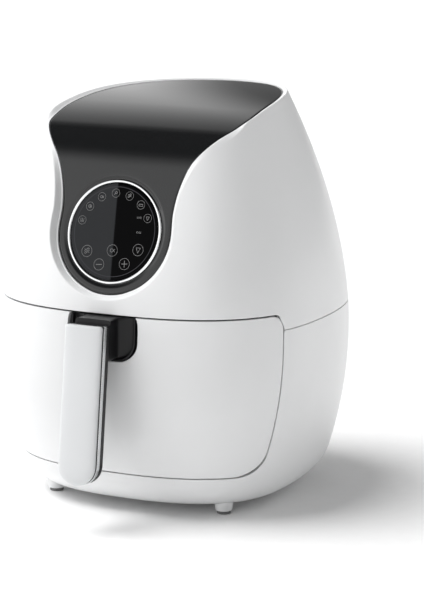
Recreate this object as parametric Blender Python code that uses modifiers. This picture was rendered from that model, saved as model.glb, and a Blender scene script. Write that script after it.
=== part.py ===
"""An egg-shaped digital air fryer: casing, touch display, cooking drawer and the hot-air works inside.

Metres, +Z up, the front faces -Y. The model stands on z = 0. Pieces are laid out from the body's own
axis, and one empty moves them all so that the origin is under the middle of the whole appliance.
"""

import math

import bmesh
import bpy
from mathutils import Matrix

# Clearances
GAP = 0.0003
RUNNING_GAP = 0.0015
SEAM_GAP = 0.0005
DRAWER_GAP = 0.0012

# Casing: an egg with superellipse sections
BODY_HEIGHT = 0.330
BODY_BOTTOM = 0.0086
HALF_WIDTH = 0.1351
FRONT_DEPTH = 0.1213
BACK_DEPTH = 0.1618
WIDEST_Z = 0.1314
CROWN_DRAW = 0.0488
BASE_DRAW = 0.0224
FRONT_SHARE = 1.075
BACK_SHARE = 0.804
SQUARING_Z = 0.150
FRONT_EXPONENT = 2.59
FRONT_EXPONENT_TOP = 3.46
BACK_EXPONENT = 2.45
BACK_EXPONENT_TOP = 2.04
BASE_ROUND_IN = 0.014
BASE_ROUND_UP = 0.021
WALL = 0.003
SEAM_BELOW_DRAWER_TOP = 0.0138
OVERRUN = 0.006
SECTION_POINTS = 48

# Top panel and the rim around it
RIM_LIP = 0.0042
PANEL_INSET = 0.004
PANEL_THICKNESS = 0.003
RIM_FOOT_Z = 0.180
FACE_LEAN = math.radians(16.5)
BEND_RADIUS = 0.068
TOP_FALL = 0.0073
TOP_FALL_Y = 0.125

# Display
DISPLAY_BELOW_TOP = 0.0985
DISPLAY_RADIUS = 0.0419
PANEL_BORDER = 0.0086
RING_WIDTH = 0.0026
RING_DEPTH = 0.0028
RING_PROUD = 0.0005
LENS_THICKNESS = 0.0016
CARRIER_RADIUS = 0.034
CARRIER_RIM = 0.005
BOARD_THICKNESS = 0.0016
BOARD_BEHIND = 0.006

# Drawer opening and front
DRAWER_TOP = 0.1678
DRAWER_BOTTOM = 0.0352
DRAWER_SIDE_TOP_Y = -0.0533
DRAWER_SIDE_FOOT_Y = -0.0598
DRAWER_CORNER_TOP = 0.010
DRAWER_CORNER_FOOT = 0.0185
FRONT_WALL = 0.003
DECK_THICKNESS = 0.0025

# Pocket and handle
POCKET_HALF_WIDTH = 0.029
POCKET_HEIGHT = 0.0368
POCKET_CORNER = 0.016
POCKET_DEPTH = 0.007
POCKET_WALL = 0.0018
POCKET_SET_BACK = 0.0005
ARM_HALF_WIDTH = 0.0145
ARM_DROP = 0.0034
ARM_HEIGHT = 0.031
HANDLE_HALF_WIDTH = 0.0163
HANDLE_TOP_REACH = 0.0303
HANDLE_LEAN = math.radians(7.3)
HANDLE_BOTTOM = 0.040
COVER_THICKNESS = 0.0067
COVER_ROUND = 0.004
TRIM_THICKNESS = 0.0037
TRIM_SET_IN = 0.0004
CORE_THICKNESS = 0.0058
SCREW_RADIUS = 0.002
SCREW_HEAD_RADIUS = 0.004
SCREW_HEAD_HEIGHT = 0.002
SCREW_PITCH = 0.014
SCREW_REACH = 0.006
END_ROUND_SHARE = 0.999

# Pan and tray
PAN_HALF_WIDTH = 0.099
PAN_FRONT = 0.097
PAN_BACK = 0.104
PAN_EXPONENT = 3.4
PAN_TAPER = 0.007
PAN_ABOVE_DRAWER_FOOT = 0.0068
PAN_BELOW_DRAWER_TOP = 0.0158
PAN_FOOT_ROUND_IN = 0.005
PAN_FOOT_ROUND_UP = 0.004
PAN_WALL = 0.0015
PAN_FLANGE = 0.004
PAN_FLANGE_THICKNESS = 0.002
TRAY_ABOVE_FLOOR = 0.016
TRAY_THICKNESS = 0.002
TRAY_MARGIN = 0.004
TRAY_HOLE_RADIUS = 0.0035
TRAY_HOLE_PITCH = 0.017
TRAY_RIM_SHARE = 0.4
BUMPER_RADIUS = 0.005
BUMPER_HEIGHT = 0.008
BUMPER_PAST_EDGE = 0.0012

# Cooking chamber
LINER_CLEARANCE = 0.0085
LINER_WALL = 0.0012
LINER_BELOW_PAN = 0.0032
LINER_LIP = 0.003
CHAMBER_HEADROOM = 0.040
PLATE_MARGIN = 0.001
SPACER_RADIUS = 0.004
SPACER_SHARE = 0.72
RAIL_HEIGHT = 0.004
RAIL_FRONT = 0.040
RAIL_BACK = 0.0384
LATCH_THICKNESS = 0.0008
LATCH_HEIGHT = 0.008
LATCH_HALF_LENGTH = 0.020

# Hot-air works, heights measured up from the top of the pan
GUARD_ABOVE_PAN = 0.006
GUARD_WIRE = 0.0013
GUARD_RADIUS = 0.072
HEATER_ABOVE_PAN = 0.016
HEATER_WIRE = 0.0033
HEATER_INNER = 0.034
HEATER_OUTER = 0.074
HEATER_TURNS = 2.5
FAN_ABOVE_PAN = 0.026
FAN_RADIUS = 0.062
FAN_HEIGHT = 0.010
FAN_BLADES = 8
FAN_HUB = 0.010
FAN_CLEARANCE = 0.004
BLADE_HALF_THICKNESS = 0.0006
BLADE_SINK = 0.0004
PLATE_THICKNESS = 0.0012
SHIELD_ABOVE_PLATE = 0.008
COOLING_FAN_RADIUS = 0.044
COOLING_FAN_HEIGHT = 0.007
COOLING_FAN_HUB = 0.009
SHAFT_RADIUS = 0.003
SHAFT_PAST_NUT = 0.002
SHAFT_PAST_MOTOR = 0.004
BUSH_RADIUS = 0.006
BUSH_LENGTH = 0.005
BUSH_PROUD = 0.001
MOTOR_RADIUS = 0.030
MOTOR_HEIGHT = 0.026
MOTOR_WALL = 0.003
ROTOR_RADIUS = 0.019
ROTOR_END_GAP = 0.003
BRACKET_RADIUS = 0.056
LEG_RADIUS = 0.0045
NUT_RADIUS = 0.0055
NUT_HEIGHT = 0.005

# Electrics
POWER_BOARD_SIZE = (0.110, 0.0016, 0.040)
POWER_BOARD_Y = 0.098
SWITCH_SIZE = (0.012, 0.010, 0.020)
SWITCH_BELOW_PAN_TOP = 0.042
SWITCH_PLAY_SHARE = 0.6
PLUNGER_RADIUS = 0.0022
PLUNGER_TRAVEL = 0.002
SENSOR_RADIUS = 0.002
SENSOR_LENGTH = 0.030
SENSOR_X = 0.020
SENSOR_BELOW_PLATE = 0.004
FUSE_RADIUS = 0.003
FUSE_LENGTH = 0.014
FUSE_X = 0.040
FUSE_FRONT_SHARE = 0.4

# Vent, cord gland, base and feet
VENT_HALF_WIDTH = 0.045
VENT_LOW = 0.205
VENT_HIGH = 0.255
VENT_CORNER = 0.006
VENT_SLOTS = 6
VENT_SLOT_HEIGHT = 0.003
DUCT_LENGTH = 0.016
DUCT_WALL = 0.0015
DUCT_STAND_OFF = 0.006
GLAND_X = -0.055
GLAND_Z = 0.050
GLAND_RADIUS = 0.0085
GLAND_BORE = 0.0038
GLAND_LENGTH = 0.020
GLAND_PROUD = 0.004
BASE_HALF = 0.058
BASE_CORNER = 0.012
BASE_FLANGE = 0.006
BASE_FLANGE_THICKNESS = 0.0015
BASE_SLOTS = 5
BASE_SLOT_WIDTH = 0.004
FOOT_X = 0.0778
FOOT_FRONT_Y = -0.0604
FOOT_BACK_Y = 0.092
FOOT_RADIUS = 0.008
FOOT_TAPER = 0.0008
FOOT_RUN_UP = 0.006
PAD_RADIUS = 0.0057
PAD_HEIGHT = 0.0022

# Levels that follow from the sizes above
ROOM = 0.25
CASE_SEAM = DRAWER_TOP - SEAM_BELOW_DRAWER_TOP
POCKET_BOTTOM = DRAWER_TOP - POCKET_HEIGHT
PAN_TOP = DRAWER_TOP - PAN_BELOW_DRAWER_TOP
PAN_BOTTOM = DRAWER_BOTTOM + PAN_ABOVE_DRAWER_FOOT
PAN_HEIGHT = PAN_TOP - PAN_BOTTOM
SWITCH_Z = PAN_TOP - SWITCH_BELOW_PAN_TOP
LINER_TOP = PAN_TOP + CHAMBER_HEADROOM
SHIELD_Z = LINER_TOP + GAP + PLATE_THICKNESS + SHIELD_ABOVE_PLATE
COOLING_FAN_Z = SHIELD_Z + PLATE_THICKNESS + FAN_CLEARANCE
BRACKET_Z = COOLING_FAN_Z + COOLING_FAN_HEIGHT + FAN_CLEARANCE
MOTOR_Z = BRACKET_Z + 2 * PLATE_THICKNESS + GAP
MOTOR_TOP = MOTOR_Z + MOTOR_HEIGHT
FAN_Z = PAN_TOP + FAN_ABOVE_PAN
ARM_TOP = DRAWER_TOP - ARM_DROP
HANDLE_LENGTH = (ARM_TOP - HANDLE_BOTTOM) / math.cos(HANDLE_LEAN)
HANDLE_TOP_Y = -(FRONT_DEPTH + HANDLE_TOP_REACH)
HANDLE_FRONT = -HANDLE_TOP_Y + HANDLE_LENGTH * math.sin(HANDLE_LEAN)
AXIS_Y = (HANDLE_FRONT - BACK_DEPTH) / 2


# ---------------------------------------------------------------- scene and materials

def clear_scene():
    for old in list(bpy.data.objects):
        bpy.data.objects.remove(old)


def new_collection(name):
    collection = bpy.data.collections.new(name)
    bpy.context.scene.collection.children.link(collection)
    return collection


def finish(name, colour, roughness, metallic=0.0):
    """A Principled material; colour is linear red, green and blue."""
    material = bpy.data.materials.new(name)
    material.use_nodes = True
    shader = material.node_tree.nodes["Principled BSDF"]
    shader.inputs["Base Color"].default_value = (*colour, 1.0)
    shader.inputs["Roughness"].default_value = roughness
    shader.inputs["Metallic"].default_value = metallic
    return material


clear_scene()
PARTS = new_collection("air_fryer")
CUTTERS = new_collection("cutters")
FRAME = bpy.data.objects.new("air_fryer_frame", None)
FRAME.location = (0, AXIS_Y, 0)
PARTS.objects.link(FRAME)

WHITE = finish("white_plastic", (0.87, 0.87, 0.86), 0.22)
BLACK_GLOSS = finish("black_gloss", (0.02, 0.02, 0.022), 0.08)
GLASS = finish("display_glass", (0.006, 0.006, 0.007), 0.03)
CHROME = finish("chrome", (0.8, 0.8, 0.8), 0.08, 1.0)
BLACK = finish("black_plastic", (0.02, 0.02, 0.02), 0.4)
SILVER = finish("satin_silver", (0.6, 0.6, 0.6), 0.3, 1.0)
RUBBER = finish("grey_rubber", (0.2, 0.2, 0.2), 0.8)
COATING = finish("non_stick_coating", (0.03, 0.03, 0.032), 0.45, 0.3)
STEEL = finish("sheet_steel", (0.55, 0.55, 0.55), 0.35, 1.0)
INCOLOY = finish("heater_sheath", (0.15, 0.15, 0.14), 0.5, 1.0)
BOARD = finish("circuit_board", (0.02, 0.12, 0.05), 0.5)
BRONZE = finish("bronze", (0.5, 0.3, 0.12), 0.4, 1.0)
SILICONE = finish("silicone", (0.1, 0.1, 0.1), 0.7)


# ---------------------------------------------------------------- mesh helpers

def add(name, mesh, material=None):
    """A named object in the frame: a part when it has a material, otherwise a hidden cutter."""
    obj = bpy.data.objects.new(name, mesh)
    obj.parent = FRAME
    if material:
        mesh.materials.clear()
        mesh.materials.append(material)
        PARTS.objects.link(obj)
    else:
        CUTTERS.objects.link(obj)
        obj.hide_render = True
        obj.display_type = "WIRE"
    return obj


def mesh_from(name, bm):
    bmesh.ops.recalc_face_normals(bm, faces=bm.faces)
    mesh = bpy.data.meshes.new(name)
    bm.to_mesh(mesh)
    bm.free()
    return mesh


def smooth(obj, degrees=30):
    obj.data.shade_smooth()
    obj.data.set_sharp_from_angle(angle=math.radians(degrees))
    return obj


def block(name, low, high, material=None):
    """A box between two corners."""
    bm = bmesh.new()
    size = [high[i] - low[i] for i in range(3)]
    centre = [(high[i] + low[i]) / 2 for i in range(3)]
    bmesh.ops.create_cube(bm, size=1, matrix=Matrix.Translation(centre) @ Matrix.Diagonal((*size, 1)))
    return add(name, mesh_from(name, bm), material)


def turned(name, radii, low, high, centre=(0, 0), material=None, sides=28):
    """An upright cylinder or cone; radii are at its foot and its head."""
    bm = bmesh.new()
    place = Matrix.Translation((*centre, (low + high) / 2))
    bmesh.ops.create_cone(
        bm, cap_ends=True, segments=sides, radius1=radii[0], radius2=radii[1], depth=high - low, matrix=place
    )
    return add(name, mesh_from(name, bm), material)


def slots(name, corners):
    """One cutter of several boxes, each given by its two corners."""
    bm = bmesh.new()
    for low, high in corners:
        size = [high[i] - low[i] for i in range(3)]
        centre = [(high[i] + low[i]) / 2 for i in range(3)]
        bmesh.ops.create_cube(bm, size=1, matrix=Matrix.Translation(centre) @ Matrix.Diagonal((*size, 1)))
    return add(name, mesh_from(name, bm))


def posts(name, places, radius, low, high, sides):
    """One cutter of several upright cylinders."""
    bm = bmesh.new()
    for x, y in places:
        place = Matrix.Translation((x, y, (low + high) / 2))
        bmesh.ops.create_cone(
            bm, cap_ends=True, segments=sides, radius1=radius, radius2=radius, depth=high - low, matrix=place
        )
    return add(name, mesh_from(name, bm))


def rod_along_y(name, radius, centre, front, back, material=None, sides=20):
    """A cylinder along Y at an (x, z) centre."""
    bm = bmesh.new()
    middle = (centre[0], (front + back) / 2, centre[1])
    place = Matrix.Translation(middle) @ Matrix.Rotation(math.pi / 2, 4, "X")
    bmesh.ops.create_cone(
        bm, cap_ends=True, segments=sides, radius1=radius, radius2=radius, depth=back - front, matrix=place
    )
    return add(name, mesh_from(name, bm), material)


def boolean(obj, other, operation):
    modifier = obj.modifiers.new(operation.title(), "BOOLEAN")
    modifier.operation = operation
    modifier.object = other
    return obj


def cut(obj, *cutters):
    for cutter in cutters:
        boolean(obj, cutter, "DIFFERENCE")
    return obj


def keep(obj, cutter):
    return boolean(obj, cutter, "INTERSECT")


def join(obj, *others):
    for other in others:
        boolean(obj, other, "UNION")
    return obj


def meshed(curve_object, material):
    """The curve's solid as a mesh object with its caps welded on."""
    graph = bpy.context.evaluated_depsgraph_get()
    mesh = bpy.data.meshes.new_from_object(curve_object.evaluated_get(graph))
    bm = bmesh.new()
    bm.from_mesh(mesh)
    bmesh.ops.remove_doubles(bm, verts=bm.verts, dist=0.00001)
    bmesh.ops.recalc_face_normals(bm, faces=bm.faces)
    bm.to_mesh(mesh)
    bm.free()
    name = curve_object.name
    turn = curve_object.matrix_basis.copy()
    bpy.data.objects.remove(curve_object)
    obj = add(name, mesh, material)
    obj.matrix_basis = turn
    return obj


def rounded(corners):
    """An outline with its corners rounded: each corner is (x, y, radius), and radius 0 stays sharp."""
    outline = []
    count = len(corners)
    for i, (x, y, radius) in enumerate(corners):
        if not radius:
            outline.append((x, y))
            continue
        before = corners[i - 1]
        after = corners[(i + 1) % count]
        towards_before = math.atan2(before[1] - y, before[0] - x)
        towards_after = math.atan2(after[1] - y, after[0] - x)
        opening = (towards_after - towards_before + math.pi) % (2 * math.pi) - math.pi
        half = abs(opening) / 2
        middle = towards_before + opening / 2
        centre_x = x + radius / math.sin(half) * math.cos(middle)
        centre_y = y + radius / math.sin(half) * math.sin(middle)
        sweep = math.copysign(math.pi / 2 - half, opening)
        for step in range(-3, 4):
            angle = middle + math.pi - sweep * step / 3
            outline.append((centre_x + radius * math.cos(angle), centre_y + radius * math.sin(angle)))
    return outline


def prism(name, outline, half, across, material=None):
    """A flat outline given thickness across "X" from (y, z) points, "Y" from (x, z) or "Z" from (x, y)."""
    curve = bpy.data.curves.new(name, "CURVE")
    curve.dimensions = "2D"
    curve.fill_mode = "BOTH"
    curve.extrude = half
    spline = curve.splines.new("POLY")
    spline.points.add(len(outline) - 1)
    spline.use_cyclic_u = True
    for point, (u, v) in zip(spline.points, outline):
        point.co = (u, v, 0, 1)
    obj = bpy.data.objects.new(name, curve)
    CUTTERS.objects.link(obj)
    turns = {
        "X": Matrix(((0, 0, 1, 0), (1, 0, 0, 0), (0, 1, 0, 0), (0, 0, 0, 1))),
        "Y": Matrix(((1, 0, 0, 0), (0, 0, -1, 0), (0, 1, 0, 0), (0, 0, 0, 1))),
        "Z": Matrix.Identity(4),
    }
    obj.matrix_basis = turns[across]
    bpy.context.view_layer.update()
    return meshed(obj, material)


def slab(name, outline, low, high, material=None):
    """A flat outline in (x, y) between two heights."""
    obj = prism(name, outline, (high - low) / 2, "Z", material)
    obj.location.z = (low + high) / 2
    return obj


def loft(name, rings, material=None):
    """A closed solid skinned over rings of equal point counts, capped at both ends."""
    bm = bmesh.new()
    rows = [[bm.verts.new(point) for point in ring] for ring in rings]
    count = len(rows[0])
    for low, high in zip(rows, rows[1:]):
        for i in range(count):
            after = (i + 1) % count
            bm.faces.new((low[i], low[after], high[after], high[i]))
    bm.faces.new(list(reversed(rows[0])))
    bm.faces.new(rows[-1])
    return add(name, mesh_from(name, bm), material)


# ---------------------------------------------------------------- the casing's shape

def base_rounding(z):
    """How far the underside's rounded edge draws the wall in at height z."""
    below = (BODY_BOTTOM + BASE_ROUND_UP - z) / BASE_ROUND_UP
    below = min(max(below, 0), 1)
    return BASE_ROUND_IN * (1 - math.sqrt(1 - below**2))


def draw_in(z):
    """How much narrower than its widest the half-width is at height z."""
    if z > WIDEST_Z:
        return CROWN_DRAW * ((z - WIDEST_Z) / (BODY_HEIGHT - WIDEST_Z)) ** 2
    return BASE_DRAW * ((WIDEST_Z - z) / (WIDEST_Z - BODY_BOTTOM)) ** 2 + base_rounding(z)


def front_depth(z):
    return FRONT_DEPTH - FRONT_SHARE * draw_in(z)


def back_depth(z):
    return BACK_DEPTH - BACK_SHARE * draw_in(z)


def rise(z):
    """0 up to the height where the section starts to change, 1 at the crown."""
    return min(max((z - SQUARING_Z) / (BODY_HEIGHT - SQUARING_Z), 0), 1)


def front_exponent(z):
    return FRONT_EXPONENT + (FRONT_EXPONENT_TOP - FRONT_EXPONENT) * rise(z)


def back_exponent(z):
    return BACK_EXPONENT + (BACK_EXPONENT_TOP - BACK_EXPONENT) * rise(z)


def superellipse(width, front, back, front_power, back_power, z, points=SECTION_POINTS):
    """A ring at height z whose front and back halves are superellipses of one width."""
    ring = []
    for i in range(points):
        angle = 2 * math.pi * i / points
        across, along = math.cos(angle), math.sin(angle)
        depth, power = (back, back_power) if along > 0 else (front, front_power)
        reach = (abs(across / width) ** power + abs(along / depth) ** power) ** (-1 / power)
        ring.append((reach * across, reach * along, z))
    return ring


def body_levels(low, high):
    """Heights for the casing's rings, close together round the base."""
    base = [BODY_BOTTOM + BASE_ROUND_UP * share for share in (0.12, 0.3, 0.55, 1.0)]
    sides = [base[-1] + (BODY_HEIGHT - base[-1]) * step / 12 for step in range(1, 13)]
    return [low] + [z for z in base + sides if low + 0.001 < z < high - 0.001] + [high]


def egg(name, inset, material=None, low=None, high=None):
    """The casing's solid, drawn in all round by an inset."""
    low = BODY_BOTTOM + inset if low is None else low
    high = BODY_HEIGHT + OVERRUN + inset if high is None else high
    rings = []
    for z in body_levels(low, high):
        shape_z = max(z - inset, BODY_BOTTOM) if z < WIDEST_Z / 2 else z
        rings.append(
            superellipse(
                HALF_WIDTH - draw_in(shape_z) - inset,
                front_depth(shape_z) - inset,
                back_depth(shape_z) - inset,
                front_exponent(z),
                back_exponent(z),
                z,
            )
        )
    return smooth(loft(name, rings, material))


# ---------------------------------------------------------------- the rim's profile, seen from the side

def top_height(y):
    """The crown's height above a point on the centre line: a parabola that falls away to the front."""
    return BODY_HEIGHT - TOP_FALL * ((TOP_FALL_Y - y) / TOP_FALL_Y) ** 2


def face_y(z):
    """Where the leaning front face of the panel meets the centre plane at height z."""
    return -front_depth(RIM_FOOT_Z) + (z - RIM_FOOT_Z) * math.tan(FACE_LEAN)


def corner_height():
    """The height where the face and the crown would meet without a bend."""
    z = BODY_HEIGHT
    for _ in range(20):
        z = top_height(face_y(z))
    return z


def rim_profile(inset):
    """(y, z) points over the crown, round the bend and down the face, moved inwards by an inset."""
    corner_z = corner_height()
    corner_y = face_y(corner_z)
    crown_slope = math.atan(2 * TOP_FALL * (TOP_FALL_Y - corner_y) / TOP_FALL_Y**2)
    turn = math.pi / 2 - FACE_LEAN - crown_slope
    tangent = BEND_RADIUS * math.tan(turn / 2)
    start_y = corner_y + tangent * math.cos(crown_slope)
    crown = [BACK_DEPTH + OVERRUN + (start_y - BACK_DEPTH - OVERRUN) * i / 8 for i in range(8)]
    points = [(y, top_height(y), math.atan(2 * TOP_FALL * (TOP_FALL_Y - y) / TOP_FALL_Y**2)) for y in crown]
    centre_y = start_y + BEND_RADIUS * math.sin(crown_slope)
    centre_z = corner_z + tangent * math.sin(crown_slope) - BEND_RADIUS * math.cos(crown_slope)
    for i in range(9):
        angle = crown_slope + turn * i / 8
        y = centre_y - BEND_RADIUS * math.sin(angle)
        z = centre_z + BEND_RADIUS * math.cos(angle)
        points.append((y, z, angle))
    foot_z = CASE_SEAM
    points.append((face_y(foot_z), foot_z, math.pi / 2 - FACE_LEAN))
    return [(y + inset * math.sin(a), z - inset * math.cos(a)) for y, z, a in points]


def above_rim(name, inset):
    """A cutter over everything outside the rim's profile."""
    profile = rim_profile(inset)
    foot_z = profile[-1][1]
    beyond = [(-ROOM, foot_z), (-ROOM, BODY_HEIGHT + ROOM), (profile[0][0], BODY_HEIGHT + ROOM)]
    return prism(name, profile + beyond, ROOM, "X")


def rim_band(name, inset, thickness, material):
    """A bent sheet across the body that follows the rim's profile, between two depths below it."""
    outer = rim_profile(inset)
    inner = rim_profile(inset + thickness)
    return prism(name, outer + inner[::-1], ROOM, "X", material)


# ---------------------------------------------------------------- drawer opening, pocket and vent outlines

def drawer_outline(grow):
    """The drawer's opening from the side, in (y, z), grown on all its edges."""
    low = DRAWER_BOTTOM - grow
    high = DRAWER_TOP + grow
    return rounded(
        [
            (-ROOM, low, 0),
            (DRAWER_SIDE_FOOT_Y + grow, low, DRAWER_CORNER_FOOT),
            (DRAWER_SIDE_TOP_Y + grow, high, DRAWER_CORNER_TOP),
            (-ROOM, high, 0),
        ]
    )


def pocket_outline(grow, top=DRAWER_TOP):
    """The handle pocket from the front, in (x, z)."""
    side = POCKET_HALF_WIDTH + grow
    low = POCKET_BOTTOM - grow
    return rounded(
        [
            (-side, top, 0),
            (-side, low, POCKET_CORNER + grow),
            (side, low, POCKET_CORNER + grow),
            (side, top, 0),
        ]
    )


def rectangle(half_x, half_y, corner, centre=(0, 0)):
    """A rectangle with rounded corners about a centre."""
    x, y = centre
    return rounded(
        [
            (x - half_x, y - half_y, corner),
            (x + half_x, y - half_y, corner),
            (x + half_x, y + half_y, corner),
            (x - half_x, y + half_y, corner),
        ]
    )


def vent_outline(grow):
    centre = (0, (VENT_LOW + VENT_HIGH) / 2)
    return rectangle(VENT_HALF_WIDTH + grow, (VENT_HIGH - VENT_LOW) / 2 + grow, VENT_CORNER + grow, centre)


def vent_window(name, grow):
    """A cutter through the back wall in the vent's outline."""
    window = prism(name, vent_outline(grow), ROOM / 2, "Y")
    window.location.y = ROOM / 2
    return window


# ---------------------------------------------------------------- casing

def make_casing():
    opening = prism("drawer_opening", drawer_outline(0), ROOM, "X")
    outside = above_rim("outside_rim", 0)
    under_panel = above_rim("above_cavity", PANEL_INSET + PANEL_THICKNESS + GAP)
    cavity = cut(egg("upper_cavity", WALL), under_panel)
    rim_hole = egg("rim_hole", RIM_LIP)
    below = block("below_seam", (-ROOM, -ROOM, -ROOM), (ROOM, ROOM, CASE_SEAM + SEAM_GAP))
    bulb_hole = display_disc("bulb_hole", DISPLAY_RADIUS + PANEL_BORDER + GAP, -ROOM / 10, ROOM / 10)
    upper = egg("upper_housing", 0, WHITE)
    cut(upper, outside, rim_hole, cavity, below, opening, bulb_hole, vent_window("vent_hole", GAP))

    inside = egg("lower_cavity", WALL)
    above = block("above_seam", (-ROOM, -ROOM, CASE_SEAM), (ROOM, ROOM, BODY_HEIGHT + ROOM))
    hole_half = BASE_HALF + GAP
    base_hole = slab("base_hole", rectangle(hole_half, hole_half, BASE_CORNER), 0, 2 * WALL + BODY_BOTTOM)
    gland_hole = rod_along_y("gland_hole", GLAND_RADIUS + GAP, (GLAND_X, GLAND_Z), 0, ROOM)
    lower = egg("lower_housing", 0, WHITE)
    cut(lower, inside, above, opening, base_hole, gland_hole)


def make_panel():
    """The black panel that falls over the crown and down the front, with the display's round window."""
    panel = rim_band("top_panel", PANEL_INSET, PANEL_THICKNESS, BLACK_GLOSS)
    bulb = display_disc("panel_bulb", DISPLAY_RADIUS + PANEL_BORDER, -ROOM / 9, ROOM / 9)
    display_z = BODY_HEIGHT - DISPLAY_BELOW_TOP
    upper_part = block("panel_upper", (-ROOM, -ROOM, display_z), (ROOM, ROOM, BODY_HEIGHT + ROOM))
    keep(panel, join(bulb, upper_part))
    keep(panel, egg("panel_edge", RIM_LIP + GAP))
    cut(panel, display_disc("display_window", DISPLAY_RADIUS + GAP, -ROOM / 8, ROOM / 8))
    smooth(panel)


def display_disc(name, radius, front, back, material=None, sides=48):
    """A disc square to the leaning face, between two depths measured inwards from the panel's surface."""
    bm = bmesh.new()
    bmesh.ops.create_cone(
        bm, cap_ends=True, segments=sides, radius1=radius, radius2=radius, depth=back - front
    )
    disc = add(name, mesh_from(name, bm), material)
    centre_z = BODY_HEIGHT - DISPLAY_BELOW_TOP
    depth = PANEL_INSET + (front + back) / 2
    disc.rotation_euler.x = math.pi / 2 - FACE_LEAN
    disc.location = (
        0,
        face_y(centre_z) + depth * math.cos(FACE_LEAN),
        centre_z - depth * math.sin(FACE_LEAN),
    )
    return disc


def make_display():
    ring = smooth(display_disc("display_ring", DISPLAY_RADIUS, -RING_PROUD, RING_DEPTH, CHROME))
    cut(ring, display_disc("ring_bore", DISPLAY_RADIUS - RING_WIDTH, -RING_DEPTH, 2 * RING_DEPTH))
    lens_radius = DISPLAY_RADIUS - RING_WIDTH - GAP
    smooth(display_disc("display_lens", lens_radius, 0, LENS_THICKNESS, GLASS))
    board_back = BOARD_BEHIND + BOARD_THICKNESS
    smooth(display_disc("display_board", CARRIER_RADIUS - GAP, BOARD_BEHIND, board_back, BOARD))
    carrier_front, carrier_back = RING_DEPTH + GAP, BOARD_BEHIND - GAP
    carrier = smooth(display_disc("display_carrier", CARRIER_RADIUS, carrier_front, carrier_back, BLACK))
    cut(carrier, display_disc("carrier_bore", CARRIER_RADIUS - CARRIER_RIM, 0, 2 * BOARD_BEHIND))


def make_vent():
    """The air outlet: a slotted grille in the back wall and a short duct behind it."""
    grille = egg("rear_vent", 0, BLACK)
    cut(grille, egg("vent_back", WALL))
    keep(grille, vent_window("vent_shape", 0))
    pitch = (VENT_HIGH - VENT_LOW) / (VENT_SLOTS + 1)
    half = VENT_SLOT_HEIGHT / 2
    side = VENT_HALF_WIDTH - VENT_CORNER
    heights = [VENT_LOW + pitch * (i + 1) for i in range(VENT_SLOTS)]
    cut(grille, slots("vent_slots", [((-side, WALL, z - half), (side, 2 * ROOM, z + half)) for z in heights]))
    back = back_depth(VENT_HIGH) * (1 - (VENT_HALF_WIDTH / HALF_WIDTH) ** 2 / 2) - WALL - DUCT_STAND_OFF
    duct = block("exhaust_duct", (-side, back - DUCT_LENGTH, VENT_LOW), (side, back, VENT_HIGH), BLACK)
    inner = block(
        "duct_bore",
        (-side + DUCT_WALL, back - ROOM, VENT_LOW + DUCT_WALL),
        (side - DUCT_WALL, back + ROOM, VENT_HIGH - DUCT_WALL),
    )
    cut(duct, inner)


def make_gland():
    """The cord's bush in the lower housing's back wall. It is empty: no cord passes through it."""
    power = back_exponent(GLAND_Z)
    wall_width = HALF_WIDTH - draw_in(GLAND_Z)
    share = (1 - abs(GLAND_X / wall_width) ** power) ** (1 / power)
    back = back_depth(GLAND_Z) * share + GLAND_PROUD
    place = (GLAND_X, GLAND_Z)
    gland = rod_along_y("cord_gland", GLAND_RADIUS, place, back - GLAND_LENGTH, back, BLACK)
    cut(smooth(gland), rod_along_y("gland_bore", GLAND_BORE, place, 0, ROOM))


def make_base():
    low = BODY_BOTTOM + GAP
    floor = BODY_BOTTOM + WALL + GAP
    plate = slab("base_plate", rectangle(BASE_HALF, BASE_HALF, BASE_CORNER), low, floor + GAP, WHITE)
    flange_half = BASE_HALF + BASE_FLANGE
    flange = rectangle(flange_half, flange_half, BASE_CORNER)
    join(plate, slab("base_flange", flange, floor, floor + BASE_FLANGE_THICKNESS))
    pitch = 2 * BASE_HALF / (BASE_SLOTS + 1)
    half = BASE_SLOT_WIDTH / 2
    length = BASE_HALF - BASE_CORNER
    rows = [pitch * (i + 1) - BASE_HALF for i in range(BASE_SLOTS)]
    cut(plate, slots("base_slots", [((x - half, -length, 0), (x + half, length, 2 * floor)) for x in rows]))


def make_deck():
    """The floor of the drawer well: it carries the cooking chamber and hides the base."""
    high = PAN_BOTTOM - LINER_BELOW_PAN - GAP
    deck = egg("drawer_deck", WALL + GAP, WHITE)
    cut(deck, block("under_deck", (-ROOM, -ROOM, -ROOM), (ROOM, ROOM, high - DECK_THICKNESS)))
    cut(deck, block("over_deck", (-ROOM, -ROOM, high), (ROOM, ROOM, BODY_HEIGHT + ROOM)))


def make_feet():
    """Four posts under the casing's rounded edge, each on a rubber pad."""
    casing = egg("foot_seat", -GAP)
    places = [(-FOOT_X, FOOT_FRONT_Y), (FOOT_X, FOOT_FRONT_Y), (FOOT_X, FOOT_BACK_Y), (-FOOT_X, FOOT_BACK_Y)]
    for i, place in enumerate(places):
        radii = (FOOT_RADIUS - FOOT_TAPER, FOOT_RADIUS)
        post = turned(f"foot_{i + 1}", radii, PAD_HEIGHT + GAP, BODY_BOTTOM + FOOT_RUN_UP, place, WHITE)
        cut(smooth(post), casing)
        smooth(turned(f"foot_pad_{i + 1}", (PAD_RADIUS, PAD_RADIUS), 0, PAD_HEIGHT, place, RUBBER))


# ---------------------------------------------------------------- cooking chamber

def pan_ring(grow, z, points=44):
    """The pan's outline, grown sideways, at height z; it tapers towards its floor."""
    share = min(max((PAN_TOP - z) / PAN_HEIGHT, 0), 1)
    shrink = PAN_TAPER * share
    return superellipse(
        PAN_HALF_WIDTH - shrink + grow,
        PAN_FRONT - shrink + grow,
        PAN_BACK - shrink + grow,
        PAN_EXPONENT,
        PAN_EXPONENT,
        z,
        points,
    )


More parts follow.
